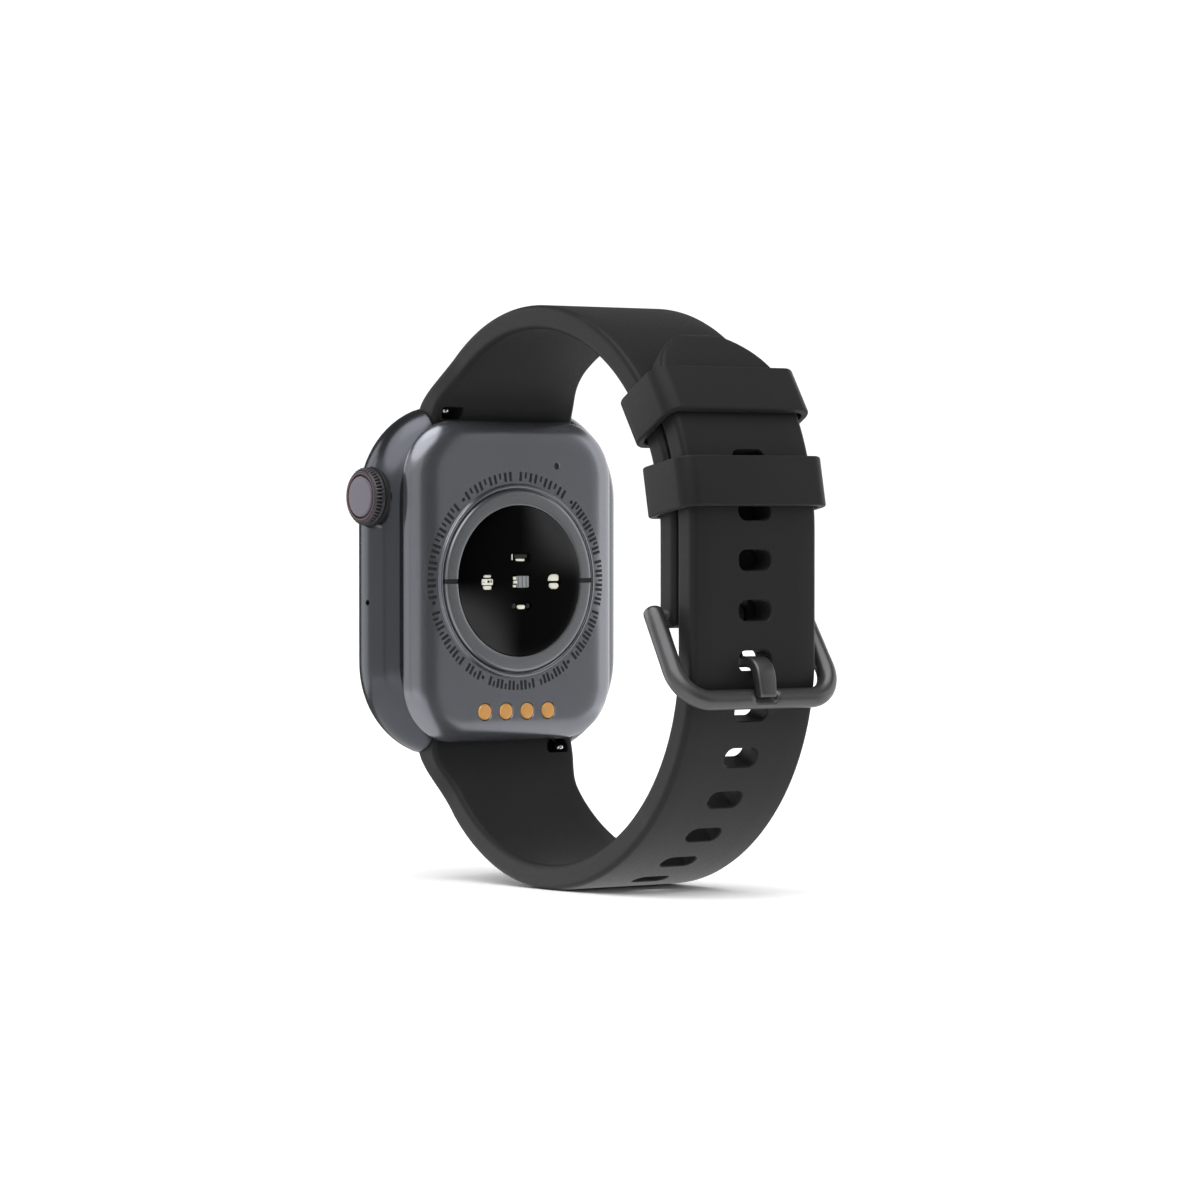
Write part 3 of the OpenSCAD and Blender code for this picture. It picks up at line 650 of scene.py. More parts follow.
def make_ring():
    """Two half rings round the lens, and the dark bars that part them."""
    r0, r1, top = LENS_R + 0.06, RING_R, RING_TOP
    profile = [(r0, RING_FOOT_Y), (r0, top - 0.12), (r0 + 0.04, top - 0.04), (r0 + 0.14, top),
               (r0 + 0.4, top), (r1 - 0.45, top), (r1 - 0.28, top - 0.02), (r1 - 0.12, top - 0.1),
               (r1 - 0.03, top - 0.22), (r1, top - 0.4), (r1, RING_FOOT_Y)]
    for place, turn in (("upper", 0), ("lower", math.pi)):
        piece = lofted("ring_half_" + place, ring_sector(profile, turn, turn + math.pi, 0.3, 96))
        finish_piece(piece, ring_metal, "watch", ["sensor_ring_" + place])
    low = [(r, min(y, top - 0.1)) for r, y in profile]
    bars = Shell()
    for side in (1, -1):
        rings = []
        for i in range(5):
            z = -0.28 + 0.56 * i / 4
            rings.append([(side * math.sqrt(r * r - z * z), y, z) for r, y in low])
        bars.loft(rings)
    finish_piece(new_object("ring_splits", bars), black_insert_and_shade, "watch", ["ring_insulators"])


# Two round, one square and two slotted windows: x, z, half width, half height, corner radius
WINDOWS = [
    (5.15, -0.15, 1.05, 1.05, 1.04), (-5.15, -0.1, 1.05, 1.0, 0.98), (0, -0.1, 1.35, 0.84, 0.15),
    (0.1, 2.95, 1.5, 0.55, 0.3), (0, -3.1, 1.55, 0.52, 0.5)]
WINDOW_DEPTH = 0.3
LENS_RISE = 0.4


def lens_height(r):
    """Y of the lens's outer face at a distance r from its centre."""
    return LENS_TOP - LENS_RISE + LENS_RISE * math.sqrt(max(1 - (r / LENS_R) ** 2, 0))


def make_lens():
    """Black lens with a pocket for each window."""
    profile = [(LENS_R - 0.01, RING_FOOT_Y), (LENS_R - 0.01, LENS_TOP - 0.48)]
    steps = 17
    for i in range(steps):
        r = (LENS_R - 0.05) * math.cos(math.pi / 2 * i / steps)
        profile.append((r, lens_height(r)))
    profile.append((0.05, LENS_TOP))
    lens = lofted("sensor_glass", lathe_y(profile, 0, 0, 128))
    pockets = Shell()
    for x, z, half_w, half_h, corner in WINDOWS:
        top = lens_height(math.hypot(x, z))
        levels = [(0, top - WINDOW_DEPTH), (0, top - 0.06), (0.05, top + 0.3)]
        pockets.loft(blocks(x, z, half_w, half_h, corner, levels, 10))
    combine(lens, pockets)
    finish_piece(lens, lens_glass, "watch", ["sensor_lens"], sharp=30)


def inlay(shell, x, z, half_w, half_h, corner, rise):
    """A small crowned block in the floor of a lens window."""
    floor = lens_height(math.hypot(x, z)) - WINDOW_DEPTH
    levels = [(0, floor - 0.05), (0, floor + rise * 0.7), (-0.03, floor + rise * 0.92), (-0.09, floor + rise)]
    shell.loft(blocks(x, z, half_w, half_h, corner, levels, 6))


def make_sensors():
    """Chips in the lens windows: cream emitter chips, a striped silver detector and dark parts, with cream
    pills in the two slots as painted highlights.
    """
    cream, silver, dark = Shell(), Shell(), Shell()
    # Left window: three rows of chips, with dark parts on them
    for z, half_w, half_h in ((0.62, 0.56, 0.16), (-0.1, 0.86, 0.38), (-0.82, 0.62, 0.24)):
        inlay(cream, 5.15, z, half_w, half_h, 0.12, 0.16)
    for x, z, half_w, half_h in ((5.0, -0.06, 0.2, 0.17), (5.7, -0.12, 0.12, 0.1), (4.6, -0.02, 0.1, 0.2)):
        inlay(dark, x, z, half_w, half_h, 0.08, 0.19)
    # Right window: two rows
    inlay(cream, -5.1, 0.4, 0.86, 0.42, 0.16, 0.18)
    inlay(cream, -5.2, -0.68, 0.76, 0.38, 0.34, 0.18)
    # Middle window: the striped detector beside three chips
    inlay(silver, -0.32, -0.1, 0.96, 0.74, 0.08, 0.14)
    for x, z, half_w, half_h in ((1.0, 0.34, 0.28, 0.2), (0.86, -0.14, 0.3, 0.18), (1.02, -0.64, 0.26, 0.16)):
        inlay(cream, x, z, half_w, half_h, 0.08, 0.18)
    for x, half_w in ((0.42, 0.06), (-0.2, 0.05), (-0.8, 0.05)):
        inlay(dark, x, -0.1, half_w, 0.7, 0.04, 0.16)
    # Upper and lower slots: the wide cream pill low in each slot is a painted highlight on its dark glass
    inlay(cream, 0.1, 2.62, 0.66, 0.16, 0.15, 0.22)
    inlay(cream, 1.35, 3.0, 0.1, 0.42, 0.09, 0.16)
    inlay(dark, 0.0, 3.12, 0.95, 0.22, 0.1, 0.1)
    inlay(cream, -0.05, -3.26, 0.58, 0.26, 0.24, 0.22)
    for x in (1.1, -1.15):
        inlay(dark, x, -3.1, 0.3, 0.3, 0.2, 0.1)
    finish_piece(new_object("emitters_and_highlights", cream), cream_led_and_highlight, "watch", ["sensor_leds"])
    finish_piece(new_object("photo_sensor", silver), sensor_silver, "watch", ["photodiode"])
    finish_piece(new_object("window_frames", dark), window_dark, "watch")


MARK_LOW_R, MARK_HIGH_R = 12.5, 13.65
INK_TOP, INK_FOOT = 0.012, 0.04
DOT_R, DOT_TURNS = 0.24, (-39.2, 41, 141.7, 203.8, 258.3, 320.8)
TICK_RUNS = ((10, 10), (13, 10, 12), (8, 12), (4, 12), (18,))


def mark(shell, turn, low_r, high_r, half_w):
    """A printed tick along a radius of the cover. Turn is clockwise from twelve, seen from behind."""
    out = (-math.sin(turn), math.cos(turn))
    side = (out[1], -out[0])
    rings = []
    for i in range(5):
        r = low_r + (high_r - low_r) * i / 4
        ends = [(r * out[0] + s * half_w * side[0], r * out[1] + s * half_w * side[1]) for s in (-1, 1)]
        heights = [cover_height(x, z) for x, z in ends]
        ring = [(x, y + INK_TOP, z) for (x, z), y in zip(ends, heights)]
        ring += [(x, y - INK_FOOT, z) for (x, z), y in zip(reversed(ends), reversed(heights))]
        rings.append(ring)
    shell.loft(rings)


def dot(shell, degrees):
    """A printed dot halfway along the ticks."""
    middle, turn = (MARK_LOW_R + MARK_HIGH_R) / 2, math.radians(degrees)
    x, z = -middle * math.sin(turn), middle * math.cos(turn)
    disc = [polar((x, z), DOT_R, math.pi * k / 10) for k in range(20)]
    shell.loft([[(a, cover_height(a, b) + rise, b) for a, b in disc] for rise in (-INK_FOOT, INK_TOP)])


def make_marks():
    """Generic scale round the ring: runs of ticks between round dots, every third tick a finer one."""
    shell = Shell()
    for start, stop, run in zip(DOT_TURNS, DOT_TURNS[1:], TICK_RUNS):
        dot(shell, start)
        step = (stop - start) / (sum(run) + len(run) + 1)
        place = 0
        for size in run:
            place += 1
            for k in range(size):
                turn = math.radians(start + step * place)
                short, half_w = (0.4, 0.14) if k % 3 == 1 else (0.0, 0.18)
                mark(shell, turn, MARK_LOW_R + short, MARK_HIGH_R, half_w)
                place += 1
    finish_piece(new_object("scale_marks", shell), printed_ink, "watch")


# ---- Crown ----

TEETH, TOOTH_DEPTH = 46, 0.34
# Knob: x beyond its back, radius, how much of the knurl shows there
KNOB_PROFILE = [
    (0, 1.02, 0), (0, 3.3, 0), (0.04, 3.45, 0), (0.12, 3.53, 0), (0.22, 3.55, 0), (0.32, 3.53, 0),
    (0.37, 3.46, 0), (0.42, 3.5, 0.3), (0.48, 3.57, 1), (0.6, 3.6, 1), (0.75, 3.6, 1), (0.88, 3.56, 1),
    (0.98, 3.48, 0.9), (1.06, 3.4, 0.6), (1.12, 3.34, 0.2), (1.2, 3.27, 0), (1.3, 3.17, 0),
    (1.36, 3.07, 0), (1.38, 3.0, 0), (1.36, 2.97, 0), (1.2, 2.96, 0), (1.0, 2.96, 0), (0.95, 1.02, 0)]
FACE_R, FACE_CROWNING = 2.42, 0.03


def crown_piece(name, profile, count, material, nodes=(), shape=None, closed=True):
    """A piece turned about the crown's axis from (x, radius) pairs."""
    piece = lofted(name, lathe_x(profile, CROWN_Y, CROWN_Z, count, shape), closed)
    finish_piece(piece, material, "crown", nodes)


def knurl(turn, index):
    """How far the gaps between the crown's teeth reach in."""
    wave = 0.5 - 0.5 * math.cos(TEETH * turn)
    return -TOOTH_DEPTH * KNOB_PROFILE[index][2] * wave ** 1.3


def make_knob():
    """Knurled wheel with an open front."""
    profile = [(KNOB_X + x, r) for x, r, _ in KNOB_PROFILE]
    crown_piece("crown_wheel", profile, TEETH * 8, crown_metal, ["crown_knob"], knurl)


def make_accent():
    """Thin red ring in the wheel's front."""
    x = KNOB_FRONT_X
    band = [(x - 0.5, 2.72), (x - 0.5, 2.95), (x - 0.16, 2.95), (x - 0.11, 2.92), (x - 0.1, 2.84),
            (x - 0.12, 2.76), (x - 0.18, 2.72)]
    crown_piece("crown_accent", band, 128, crown_red, ["crown_accent_ring"])


def make_face():
    """Slightly crowned disc inside the red ring."""
    x = KNOB_FRONT_X
    cap = [(x - 0.5, 2.54), (x - 0.14, 2.54), (x - 0.07, 2.5), (x - FACE_CROWNING, FACE_R)]
    for i in range(1, 9):
        r = FACE_R * (1 - i / 8.5)
        cap.append((x - FACE_CROWNING + FACE_CROWNING * (1 - (r / FACE_R) ** 2), r))
    crown_piece("crown_face", cap, 96, crown_face, ["crown_cap"], closed=False)


def make_groove_shade():
    """Black ring on the floor of the groove between the disc and the red ring: painted shade in the groove.
    """
    back, front = KNOB_FRONT_X - 0.5, KNOB_FRONT_X - 0.3
    groove = [(back, 2.5), (back, 2.76), (front, 2.76), (front, 2.5)]
    crown_piece("crown_groove_shade", groove, 96, black_seal_and_shade)


def make_skirt():
    """Black rubber skirt between the wheel and the case; its black also stands in as painted shade for the
    gap there.
    """
    band = [(-0.6, 1.02), (-0.6, 3.5), (-0.57, 3.59), (-0.48, 3.64), (-0.14, 3.64), (-0.04, 3.6),
            (0.0, 3.5), (0.0, 1.02)]
    profile = [(KNOB_X + x, r) for x, r in band]
    crown_piece("crown_skirt", profile, 96, black_seal_and_shade, ["crown_seal"])


# ---- Straps ----

def lug_point(centre, radius, degrees, y):
    """Where the tangent that leaves an arc at an angle reaches a given y."""
    a = math.radians(degrees)
    start = polar(centre, radius, a)
    along = (-math.sin(a), math.cos(a))
    t = (y - start[0]) / along[0]
    return start[0] + along[0] * t, start[1] + along[1] * t


def lug_stations(centre, outer_r, thick, degrees, side):
    """The rounded end between the lugs, and the straight stretch up to the strap's first arc.

    A station is a pair of points (y, z): the strap's outer and inner face.
    """
    nose = []
    for i in range(9):
        turn = math.radians(84 * (1 - i / 8))
        z = side * (BAR_Z - BARREL_R * math.sin(turn))
        reach = BARREL_R * math.cos(turn)
        nose.append(((BAR_Y - reach, z), (BAR_Y + reach, z)))
    kinks, arc_starts = [], []
    for radius, y in ((outer_r, 3.2), (outer_r - thick, 7.2)):
        kinks.append(lug_point(centre, radius, degrees, y))
        arc_starts.append(arc_points(centre, radius, degrees, degrees, 1)[0])
    straight = [tuple(between(nose[-1][s], kinks[s], i / 3) for s in (0, 1)) for i in range(1, 4)]
    straight += [tuple(between(kinks[s], arc_starts[s], i / 6) for s in (0, 1)) for i in range(1, 6)]
    return nose, straight


def eased(stations, first, last, passes):
    """Rounds the kinks between two station numbers."""
    for _ in range(passes):
        old = list(stations)
        for i in range(first, last):
            before, here, after = old[i - 1], old[i], old[i + 1]
            stations[i] = tuple(
                tuple((before[s][c] + 2 * here[s][c] + after[s][c]) / 4 for c in (0, 1)) for s in (0, 1))
    return stations


def arc_stations(centre, outer_r, thick, start, stop, steps):
    """Stations of a round stretch, from one angle to another in degrees."""
    outer = arc_points(centre, outer_r, start, stop, steps)
    inner = arc_points(centre, outer_r - thick, start, stop, steps)
    return list(zip(outer, inner))


def lug_end(centre, outer_r, thick, turn, side, steps, next_arc):
    """Stations from the lugs to the end of next_arc, with the kinks between them rounded."""
    degrees = side * (90 + turn)
    nose, straight = lug_stations(centre, outer_r, thick, degrees, side)
    lug_arc = arc_stations(centre, outer_r, thick, degrees, side * 90, steps)
    first = len(nose)
    return eased(nose + straight + lug_arc + next_arc, first, first + len(straight) + 6, 14)


def level_run(foot, start, stop, steps):
    """Stations of a straight stretch along Z that carries on from the station foot."""
    heights = [start + (stop - start) * i / steps for i in range(1, steps + 1)]
    return [((foot[0][0], z), (foot[1][0], z)) for z in heights]


def strap_half_width(z):
    """Half width: wide between the lugs, then drawn in to the strap's own width."""
    return LUG_HALF_W - (LUG_HALF_W - STRAP_HALF_W) * smooth_step(21.6, 28.5, abs(z))


def strap_ring(station, half_w):
    """Rounded cross-section of the strap at a station."""
    outer, inner = station
    thick = math.hypot(outer[0] - inner[0], outer[1] - inner[1])
    up = ((outer[0] - inner[0]) / thick, (outer[1] - inner[1]) / thick)
    middle = between(outer, inner, 0.5)
    edge = min(STRAP_EDGE, thick / 2 - 0.01, half_w - 0.01)
    return [(a, middle[0] + up[0] * b, middle[1] + up[1] * b)
            for a, b in rounded_outline(half_w, thick / 2, edge, 6, 7)]


def strap_rings(stations):
    """Cross-sections along a strap, wider where it is between the lugs."""
    rings = []
    for station in stations:
        y, z = station[0]
        rings.append(strap_ring(station, strap_half_width(z) if y < LUG_ZONE_Y else STRAP_HALF_W))
    return rings


SLOT_LEVELS = (
    (1.5, 0.5), (0.0, 0.14), (-0.06, 0.06), (-0.16, 0.0), (0.16 - TAIL_T, 0.0), (0.06 - TAIL_T, 0.06),
    (-TAIL_T, 0.14), (-TAIL_T - 1.5, 0.5))
NOTCH_LEVELS = ((0.2, 0), (3.1, 0), (3.3, -0.08), (3.45, -0.28))


def strap_cutter(place, out, along, levels, half_a, half_b, corner, steps):
    """Rings of a rounded hole through a place in (y, z), from (distance along out, grow) pairs."""
    rings = []
    for level, grow in levels:
        y, z = place[0] + out[0] * level, place[1] + out[1] * level
        outline = rounded_outline(half_a + grow, half_b + grow, corner + grow, steps)
        rings.append([(a, y + along[0] * b, z + along[1] * b) for a, b in outline])
    return rings


def on_tail(s):
    """Point, outward direction and direction along the tail at length s above its straight part's foot."""
    straight = LOOP[1] - TAIL_MID[1]
    if s < 0:
        centre, radius, turn = TAIL_MID, TAIL_MID_R, s / TAIL_MID_R
    elif s < straight:
        return (TAIL_MID[0] + TAIL_MID_R, TAIL_MID[1] + s), (1, 0), (0, 1)
    else:
        centre, radius, turn = LOOP, TAIL_R, (s - straight) / TAIL_R
    out = (math.cos(turn), math.sin(turn))
    return polar(centre, radius, turn), out, (-out[1], out[0])


def cut_bar_end(strap, side):
    """Cuts the spring bar's bore into a strap, and the open notch where its release knob slides."""
    a = math.radians(RELEASE_ANGLE)
    out, along = (math.cos(a), math.sin(a)), (-math.sin(a), math.cos(a))
    rings = strap_cutter((BAR_Y, BAR_Z), out, along, NOTCH_LEVELS, 1.65, 1.15, 0.6, 8)
    cut(strap, [[(side * (RELEASE_X - 0.75 + x), y, side * z) for x, y, z in ring] for ring in rings])
    bore_x(strap, -15, 15, BAR_BORE_R, BAR_Y, side * BAR_Z, 32)


def make_upper_strap():
    """Buckle side: from the upper lugs over the loop's top to the round end that holds the buckle."""
    centre = (LOOP[0], LOOP[1] + UPPER_R - UPPER_LUG_R)
    loop_arc = arc_stations(LOOP, UPPER_R, UPPER_T, 90, 0, 66)[1:]
    stations = lug_end(centre, UPPER_LUG_R, UPPER_T, UPPER_LUG_TURN, 1, 34, loop_arc)
    stations += level_run(stations[-1], LOOP[1], PIVOT[1], 7)
    half = UPPER_T / 2
    for i in range(1, 9):
        turn = math.radians(84 * i / 8)
        z = PIVOT[1] - half * math.sin(turn)
        stations.append(((PIVOT[0] + half * math.cos(turn), z), (PIVOT[0] - half * math.cos(turn), z)))
    strap = lofted("strap_upper", strap_rings(stations))
    cut_bar_end(strap, 1)
    bore_x(strap, -15, 15, BAR_BORE_R, *PIVOT, 32)
    mouth = [(a, b + PIVOT[1] - 1.2) for a, b in rounded_outline(TONGUE_W / 2 + 0.3, 3.8, 0.6, 6)]
    cut(strap, [[(a, y, b) for a, b in mouth] for y in (PIVOT[0] - 5, PIVOT[0] + 5)])
    finish_piece(strap, silicone, "watch", ["upper_strap"], sharp=28)


def make_lower_strap():
    """Tail: from the lower lugs round the loop's foot and up to the round tip, with its slots."""
    centre = (TAIL_MID[0], TAIL_MID[1] - TAIL_MID_R + TAIL_LUG_R)
    mid_arc = arc_stations(TAIL_MID, TAIL_MID_R, TAIL_T, -90, 0, 70)[1:]
    stations = lug_end(centre, TAIL_LUG_R, TAIL_T, TAIL_LUG_TURN, -1, 40, mid_arc)
    stations += level_run(stations[-1], TAIL_MID[1], LOOP[1], 12)
    inner_r = TAIL_R - TAIL_T
    tip_turn = math.degrees(STRAP_HALF_W / inner_r)
    stations += arc_stations(LOOP, TAIL_R, TAIL_T, 0, TIP_ANGLE - tip_turn, 22)[1:]
    rings = strap_rings(stations)
    # The tip is round in plan, and its rim is rounded like the edges
    steps = 26
    for i in range(1, steps + 1):
        turn = math.radians(88 * i / steps)
        ahead = STRAP_HALF_W * math.sin(turn)
        left = STRAP_HALF_W - ahead
        inset = 1.0 - math.sqrt(max(1 - (1 - left) ** 2, 0.0025)) if left < 1 else 0
        angle = math.radians(TIP_ANGLE - tip_turn) + ahead / inner_r
        faces = (TAIL_R - inset, inner_r + inset)
        station = [polar(LOOP, r, angle) for r in faces]
        rings.append(strap_ring(station, max(STRAP_HALF_W * math.cos(turn), 0.35)))
    strap = lofted("strap_lower", rings)
    cut_bar_end(strap, -1)
    slots = Shell()
    half_l, half_w = SLOT_HALF_L - SLOT_INSET, SLOT_HALF_W - SLOT_INSET
    for i in range(SLOT_COUNT):
        place = on_tail(TONGUE_Z + 0.1 - TAIL_MID[1] + SLOT_PITCH * (4 - i))
        slots.loft(strap_cutter(*place, SLOT_LEVELS, half_l, half_w, half_w - 0.2, 10))
    combine(strap, slots)
    finish_piece(strap, silicone, "watch", ["lower_strap"], sharp=28)


def make_keeper(name, node, body, degrees):
    """Rectangular band with rounded corners, swept round the two straps."""
    clear = 0.15
    inner = (UPPER_R - UPPER_T) * math.cos(math.radians(7)) - clear
    outer = TAIL_R + clear
    half_x, half_y, middle = STRAP_HALF_W + 0.5, (outer - inner) / 2, (outer + inner) / 2
    wall = KEEPER_WALL / 2
    section = [(a + wall, b) for a, b in rounded_outline(wall, KEEPER_LEN / 2, 0.26, 5)]
    turn = math.radians(degrees)
    rings = []
    for grow, rise in section:
        ring = []
        for a, b in rounded_outline(half_x + grow, half_y + grow, 0.9 + 1.1 * grow, 12):
            y, z = middle + b, rise
            ring.append((a, LOOP[0] + y * math.cos(turn) - z * math.sin(turn),
                         LOOP[1] + y * math.sin(turn) + z * math.cos(turn)))
        rings.append(ring)
    piece = lofted(name, rings, closed=True)
    finish_piece(piece, silicone, body, [node], sharp=40)


# ---- Buckle ----

def sweep(path, across, section):
    """Rings of a section carried along a path. across(i) is the section's second axis at point i."""
    rings = []
    for i, point in enumerate(path):
        before, after = path[max(i - 1, 0)], path[min(i + 1, len(path) - 1)]
        along = (Vector(after) - Vector(before)).normalized()
        up = across(i)
        side = along.cross(up).normalized()
        rings.append([tuple(Vector(point) + side * a + up * b) for a, b in section(i)])
    return rings


def at_pivot(x, out, down):
    """Point of the buckle: out from the strap, and down along its tilted arms."""
    a = math.radians(FRAME_TILT)
    y = PIVOT[0] + out * math.cos(a) + down * math.sin(a)
    return (x, y, PIVOT[1] + out * math.sin(a) - down * math.cos(a))


def frame_route():
    """Middle line of the frame's wire as (x, down), from one arm's end to the other's."""
    top_half, above, side_steps = FRAME_HALF_W - 0.35, 0.35, 8
    route = []
    for i in range(side_steps + 1):
        t = i / side_steps
        x = top_half + (FRAME_HALF_W - top_half) * t
        route.append((x, -above + (FRAME_LEN - FRAME_BEND_R + above) * t))
    corner = (FRAME_HALF_W - FRAME_BEND_R, FRAME_LEN - FRAME_BEND_R)
    route += arc_points(corner, FRAME_BEND_R, 0, 90, 20)[1:]
    route += [(x, FRAME_LEN) for x in (6.5, 5, 3.5, 2.4, 2.0, 1.75, 1.6, 1.45, 1.2, 0.8, 0.4, 0)]
    return route + [(-x, down) for x, down in reversed(route[:-1])]


def wire_section(x, down):
    """Round section of the wire, flattened on its outer side where the tongue rests."""
    notch = 1 - smooth_step(1.45, 1.85, abs(x)) if down > FRAME_LEN - 1 else 0
    flat_at, count = 0.6, 28
    points = []
    for k in range(count):
        turn = 2 * math.pi * k / count
        a, b = WIRE_R * math.cos(turn), WIRE_R * math.sin(turn)
        if notch and b > flat_at:
            b += (flat_at - b) * notch
        points.append((a, b))
    return points


def domed(ring, point, up):
    """Ever smaller copies of a ring that round off the end of an arm."""
    centre = Vector(point)
    rings = []
    for degrees in (20, 40, 58, 74, 84):
        turn = math.radians(degrees)
        shift = up * 0.8 * math.sin(turn)
        rings.append([tuple(centre + (Vector(p) - centre) * math.cos(turn) + shift) for p in ring])
    return rings


def make_buckle():
    """Wire frame with rounded corners and domed arm ends, and the pivot bar's bore."""
    route = frame_route()
    path = [at_pivot(x, TAIL_LIFT * down / FRAME_LEN, down) for x, down in route]
    pivot = Vector(at_pivot(0, 0, 0))
    out = Vector(at_pivot(0, 1, 0)) - pivot
    up = pivot - Vector(at_pivot(0, 0, 1))
    rings = sweep(path, lambda i: out, lambda i: wire_section(*route[i]))
    first, last = domed(rings[0], path[0], up), domed(rings[-1], path[-1], up)
    buckle = lofted("buckle_ring", first[::-1] + rings + last)
    bore_x(buckle, -12.02, 12.02, 0.74, *PIVOT, 32)
    finish_piece(buckle, buckle_metal, "buckle", ["buckle_frame"], sharp=40)


def curve_through(points, steps):
    """Catmull-Rom curve through a list of (y, z) points."""
    ends = [points[0]] + points + [points[-1]]
    made = []
    for i in range(1, len(ends) - 2):
        p0, p1, p2, p3 = (Vector(p) for p in ends[i - 1:i + 3])
        for k in range(steps):
            t = k / steps
            made.append(0.5 * (2 * p1 + (p2 - p0) * t + (2 * p0 - 5 * p1 + 4 * p2 - p3) * t ** 2
                               + (3 * p1 - p0 - 3 * p2 + p3) * t ** 3))
    return made + [Vector(points[-1])]


def make_tongue():
    """Tongue: an eye on the pivot, then a curved bar through the slot and down onto the frame."""
    y, z = PIVOT[0], TONGUE_Z
    route = [(y + 0.05, PIVOT[1] - 1.1), (y + 0.25, PIVOT[1] - 3.2), (y + 0.5, z + 0.75), (y + 1.3, z),
             (y + 3.4, z), (y + 5.3, z - 0.05), (y + 6.3, z - 0.85), (y + 6.75, z - 2.2), (y + 7.12, z - 4.1)]
    path = [(0, p[0], p[1]) for p in curve_through(route, 6)]
    last = len(path) - 1

    def section(i):
        taper = 1 - 0.12 * smooth_step(last - 8, last, i)
        shrink, narrow = (0.75, 0.94) if i in (0, last) else (1, 1)
        half_a, half_b = TONGUE_T / 2 * shrink * taper, TONGUE_W / 2 * narrow * taper
        return rounded_outline(half_a, half_b, 0.28 * shrink, 5)

    tongue = lofted("buckle_pin", sweep(path, lambda i: Vector((1, 0, 0)), section))
    eye = [(-1.35, 1.25), (-1.25, 1.38), (-1.1, 1.42), (1.1, 1.42), (1.25, 1.38), (1.35, 1.25)]
    combine(tongue, Shell().loft(lathe_x(eye, *PIVOT, 48)), "UNION")
    bore_x(tongue, -3, 3, 0.82, *PIVOT, 32)
    finish_piece(tongue, buckle_metal, "tongue", ["buckle_tongue"], sharp=40)


# ---- Spring bars ----

def make_release(name, node, body, side):
    """Sliding pin of a spring bar with its round-headed stud."""
    pin = [(6.8, 0.34), (6.86, 0.4), (12.1, 0.4), (12.22, 0.36), (12.3, 0.26)]
    piece = lofted(name, lathe_x([(side * x, r) for x, r in pin], BAR_Y, side * BAR_Z, 32))
    a = math.radians(RELEASE_ANGLE)
    out = Vector((0, math.cos(a), side * math.sin(a)))
    cross = Vector((1, 0, 0))
    third = out.cross(cross)
    base = Vector((side * RELEASE_X, BAR_Y, side * BAR_Z))
    stud = [(0, 0.34), (2.05, 0.34), (2.1, 0.42), (2.16, 0.54), (2.26, 0.6), (2.6, 0.6), (2.78, 0.55),
            (2.9, 0.45), (2.97, 0.3), (3.0, 0.14)]
    turns = [2 * math.pi * k / 32 for k in range(32)]
    rings = [[tuple(base + out * d + (cross * math.cos(t) + third * math.sin(t)) * r) for t in turns]
             for d, r in stud]
    combine(piece, Shell().loft(rings), "UNION")
    finish_piece(piece, polished_steel, body, [node])


# ---- Build the pieces ----

make_case()
make_glass()
make_cover()
make_vent_shade()
make_lip()
make_pads()
make_ring()
make_lens()
make_sensors()
make_marks()
make_knob()
make_accent()
make_face()
make_groove_shade()
make_skirt()
make_upper_strap()
make_lower_strap()
make_keeper("loop_upper", "keeper_upper", "upper_keeper", 32.2)
make_keeper("loop_lower", "keeper_lower", "lower_keeper", 11)
make_buckle()
make_tongue()
make_release("release_upper", "upper_release_pin", "upper_release", 1)
make_release("release_lower", "lower_release_pin", "lower_release", -1)

# ---- CAD nodes that are carried over ----

METALS = {"aluminium": 0.9, "brushed_steel": 1.0, "chrome": 1.0, "brass": 0.9, "painted_metal": 0.6}


def slot_material(row):
    """A material in the colour and class of one slot of the record."""
    shine = METALS.get(row["class"], 0.0)
    return surface(
        "node_" + row["slot"], tuple(row["base_color"][:3]) + (1,), 0.34 if shine else 0.5,
        metallic=shine, cloud_size=2.0, grain_size=0.1, wear=0.15)


def paint_node(name, material):
    """Gives a CAD node one material."""
    materials = frame["nodes"][name].data.materials
    materials.clear()
    materials.append(material)


by_slot = {row["slot"]: slot_material(row) for row in frame["record"]["materials"]}
for row in frame["record"]["subparts"]:
    paint_node(row["node"], by_slot[row["material_slot"]])

# The crown's bearing parts and the speaker's mesh are painted black: painted shade where they show through
# the gaps
for name in ("crown_shaft", "crown_bushing", "speaker_mesh"):
    paint_node(name, black_insert_and_shade)

# ---- Stage ----

FLOOR_Z = cad_box[0].z
FLOOR_REACH = 6.0
floor_mesh = bpy.data.meshes.new("floor")
floor_mesh.from_pydata(
    [(x * FLOOR_REACH, y * FLOOR_REACH, FLOOR_Z) for x, y in ((-1, -1), (1, -1), (1, 1), (-1, 1))], [],
    [(0, 1, 2, 3)])
floor = bpy.data.objects.new("floor", floor_mesh)
bpy.context.scene.collection.objects.link(floor)
floor_mesh.materials.append(surface(
    "floor_paper", (0.93, 0.93, 0.93, 1), 0.8, specular=0.1, cloud=0.004, cloud_size=60, bump=0.02))
floor.visible_glossy = False

# ---- Light ----

world = bpy.data.worlds.new("studio")
bpy.context.scene.world = world
world.use_nodes = True
sky = world.node_tree
room = sky.nodes["Background"]
room.inputs["Color"].default_value = (1, 1, 1, 1)
room.inputs["Strength"].default_value = 0.45
seen = sky.nodes.new("ShaderNodeLightPath")


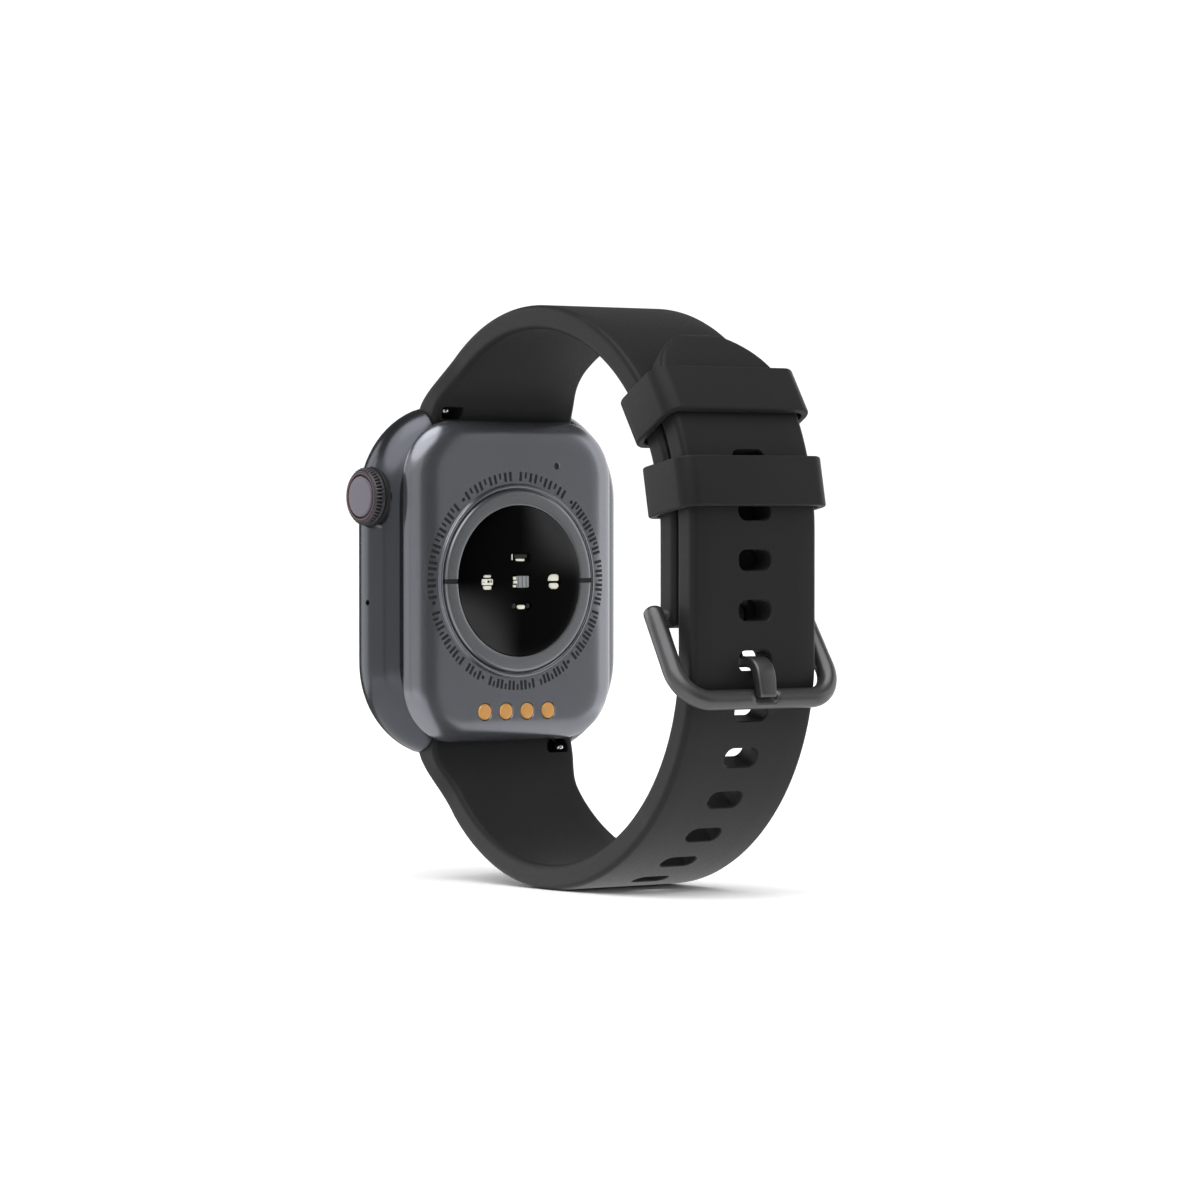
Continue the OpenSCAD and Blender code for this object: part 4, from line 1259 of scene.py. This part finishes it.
def other_room(name, strength, below, ground=None):
    """Gives rays of one kind their own brightness of the room, and another towards the ground if wanted."""
    paper = add_node(sky, "Background", {"Color": (1, 1, 1, 1), "Strength": strength})
    if ground is not None:
        around = add_node(sky, "TexCoord", {})
        height = add_node(sky, "SeparateXYZ", {})
        fade = add_node(sky, "MapRange", {
            "From Min": -0.1, "From Max": -0.7, "To Min": strength, "To Max": ground})
        link(sky, around, "Generated", height, "Vector")
        link(sky, height, "Z", fade, "Value")
        link(sky, fade, "Result", paper, "Strength")
    choose = add_node(sky, "MixShader", {})
    sky.links.new(seen.outputs[name], choose.inputs["Fac"])
    sky.links.new(below, choose.inputs[1])
    link(sky, paper, "Background", choose, 2)
    return choose.outputs["Shader"]


reflected = other_room("Is Glossy Ray", 0.08, room.outputs["Background"], 0.36)
backdrop = other_room("Is Camera Ray", 1.1, reflected)
sky.links.new(backdrop, sky.nodes["World Output"].inputs["Surface"])

TARGET = Vector((0, 25, 0)) * MM


def area_light(name, width, height, radiance):
    """A rectangular light that the camera can't see. Its energy follows from its brightness."""
    data = bpy.data.lights.new(name, "AREA")
    data.shape = "RECTANGLE"
    data.size, data.size_y = width, height
    data.energy = radiance * math.pi * width * height
    lamp = bpy.data.objects.new(name, data)
    lamp.visible_camera = False
    bpy.context.scene.collection.objects.link(lamp)
    return lamp


def direction(azimuth, elevation):
    """Unit vector from angles in radians. Azimuth turns from +Y towards +X."""
    level = math.cos(elevation)
    return Vector((math.sin(azimuth) * level, math.cos(azimuth) * level, math.sin(elevation)))


def look_back(thing, place, away):
    """Puts a lamp or camera at a place, looking against the direction away."""
    thing.location = place
    thing.rotation_mode = "QUATERNION"
    thing.rotation_quaternion = away.to_track_quat("Z", "Y")


def softbox(name, azimuth, elevation, distance, width, height, radiance):
    """Area light aimed at the watch, placed by angles in degrees and a distance in metres."""
    away = direction(math.radians(azimuth), math.radians(elevation))
    look_back(area_light(name, width, height, radiance), TARGET + away * distance, away)


softbox("near_left_box", 36, 6, 0.95, 0.86, 0.9, 0.52)
softbox("left_box", 97, 10, 0.9, 1.2, 1.1, 0.62)
softbox("front_box", -48, 12, 1.0, 0.5, 0.7, 0.38)
softbox("right_box", -93, 6, 0.9, 1.5, 0.8, 1.3)
softbox("rim_box", 149, 8, 0.9, 0.66, 1.0, 1.8)
softbox("top_box", 30, 84, 0.8, 0.5, 0.5, 0.9)

# A pale card on the floor, right under the watch
card = area_light("floor_card", 0.2, 0.16, 0.8)
card.location = (0, 0.05, FLOOR_Z + 0.0002)
card.rotation_euler = (math.pi, 0, 0)

sun_data = bpy.data.lights.new("overhead", "SUN")
sun_data.energy = 3.1
sun_data.angle = math.radians(80)
sun = bpy.data.objects.new("overhead", sun_data)
sun.rotation_euler = (math.radians(-20), math.radians(14), 0)
bpy.context.scene.collection.objects.link(sun)

# ---- Camera ----

CAMERA_AZIMUTH, CAMERA_ELEVATION = math.radians(37.84), math.radians(0.92)
CAMERA_DISTANCE = 625.4
AIM = Vector((-8.19, 16.41, -2.39))

camera_data = bpy.data.cameras.new("camera")
camera_data.sensor_width = 36
camera_data.lens = 150
camera_data.clip_start, camera_data.clip_end = 0.01, 20
camera = bpy.data.objects.new("camera", camera_data)
towards = direction(CAMERA_AZIMUTH, CAMERA_ELEVATION)
look_back(camera, (AIM + towards * CAMERA_DISTANCE) * MM, towards)
scene = bpy.context.scene
scene.view_settings.view_transform = "Standard"
scene.collection.objects.link(camera)
scene.camera = camera
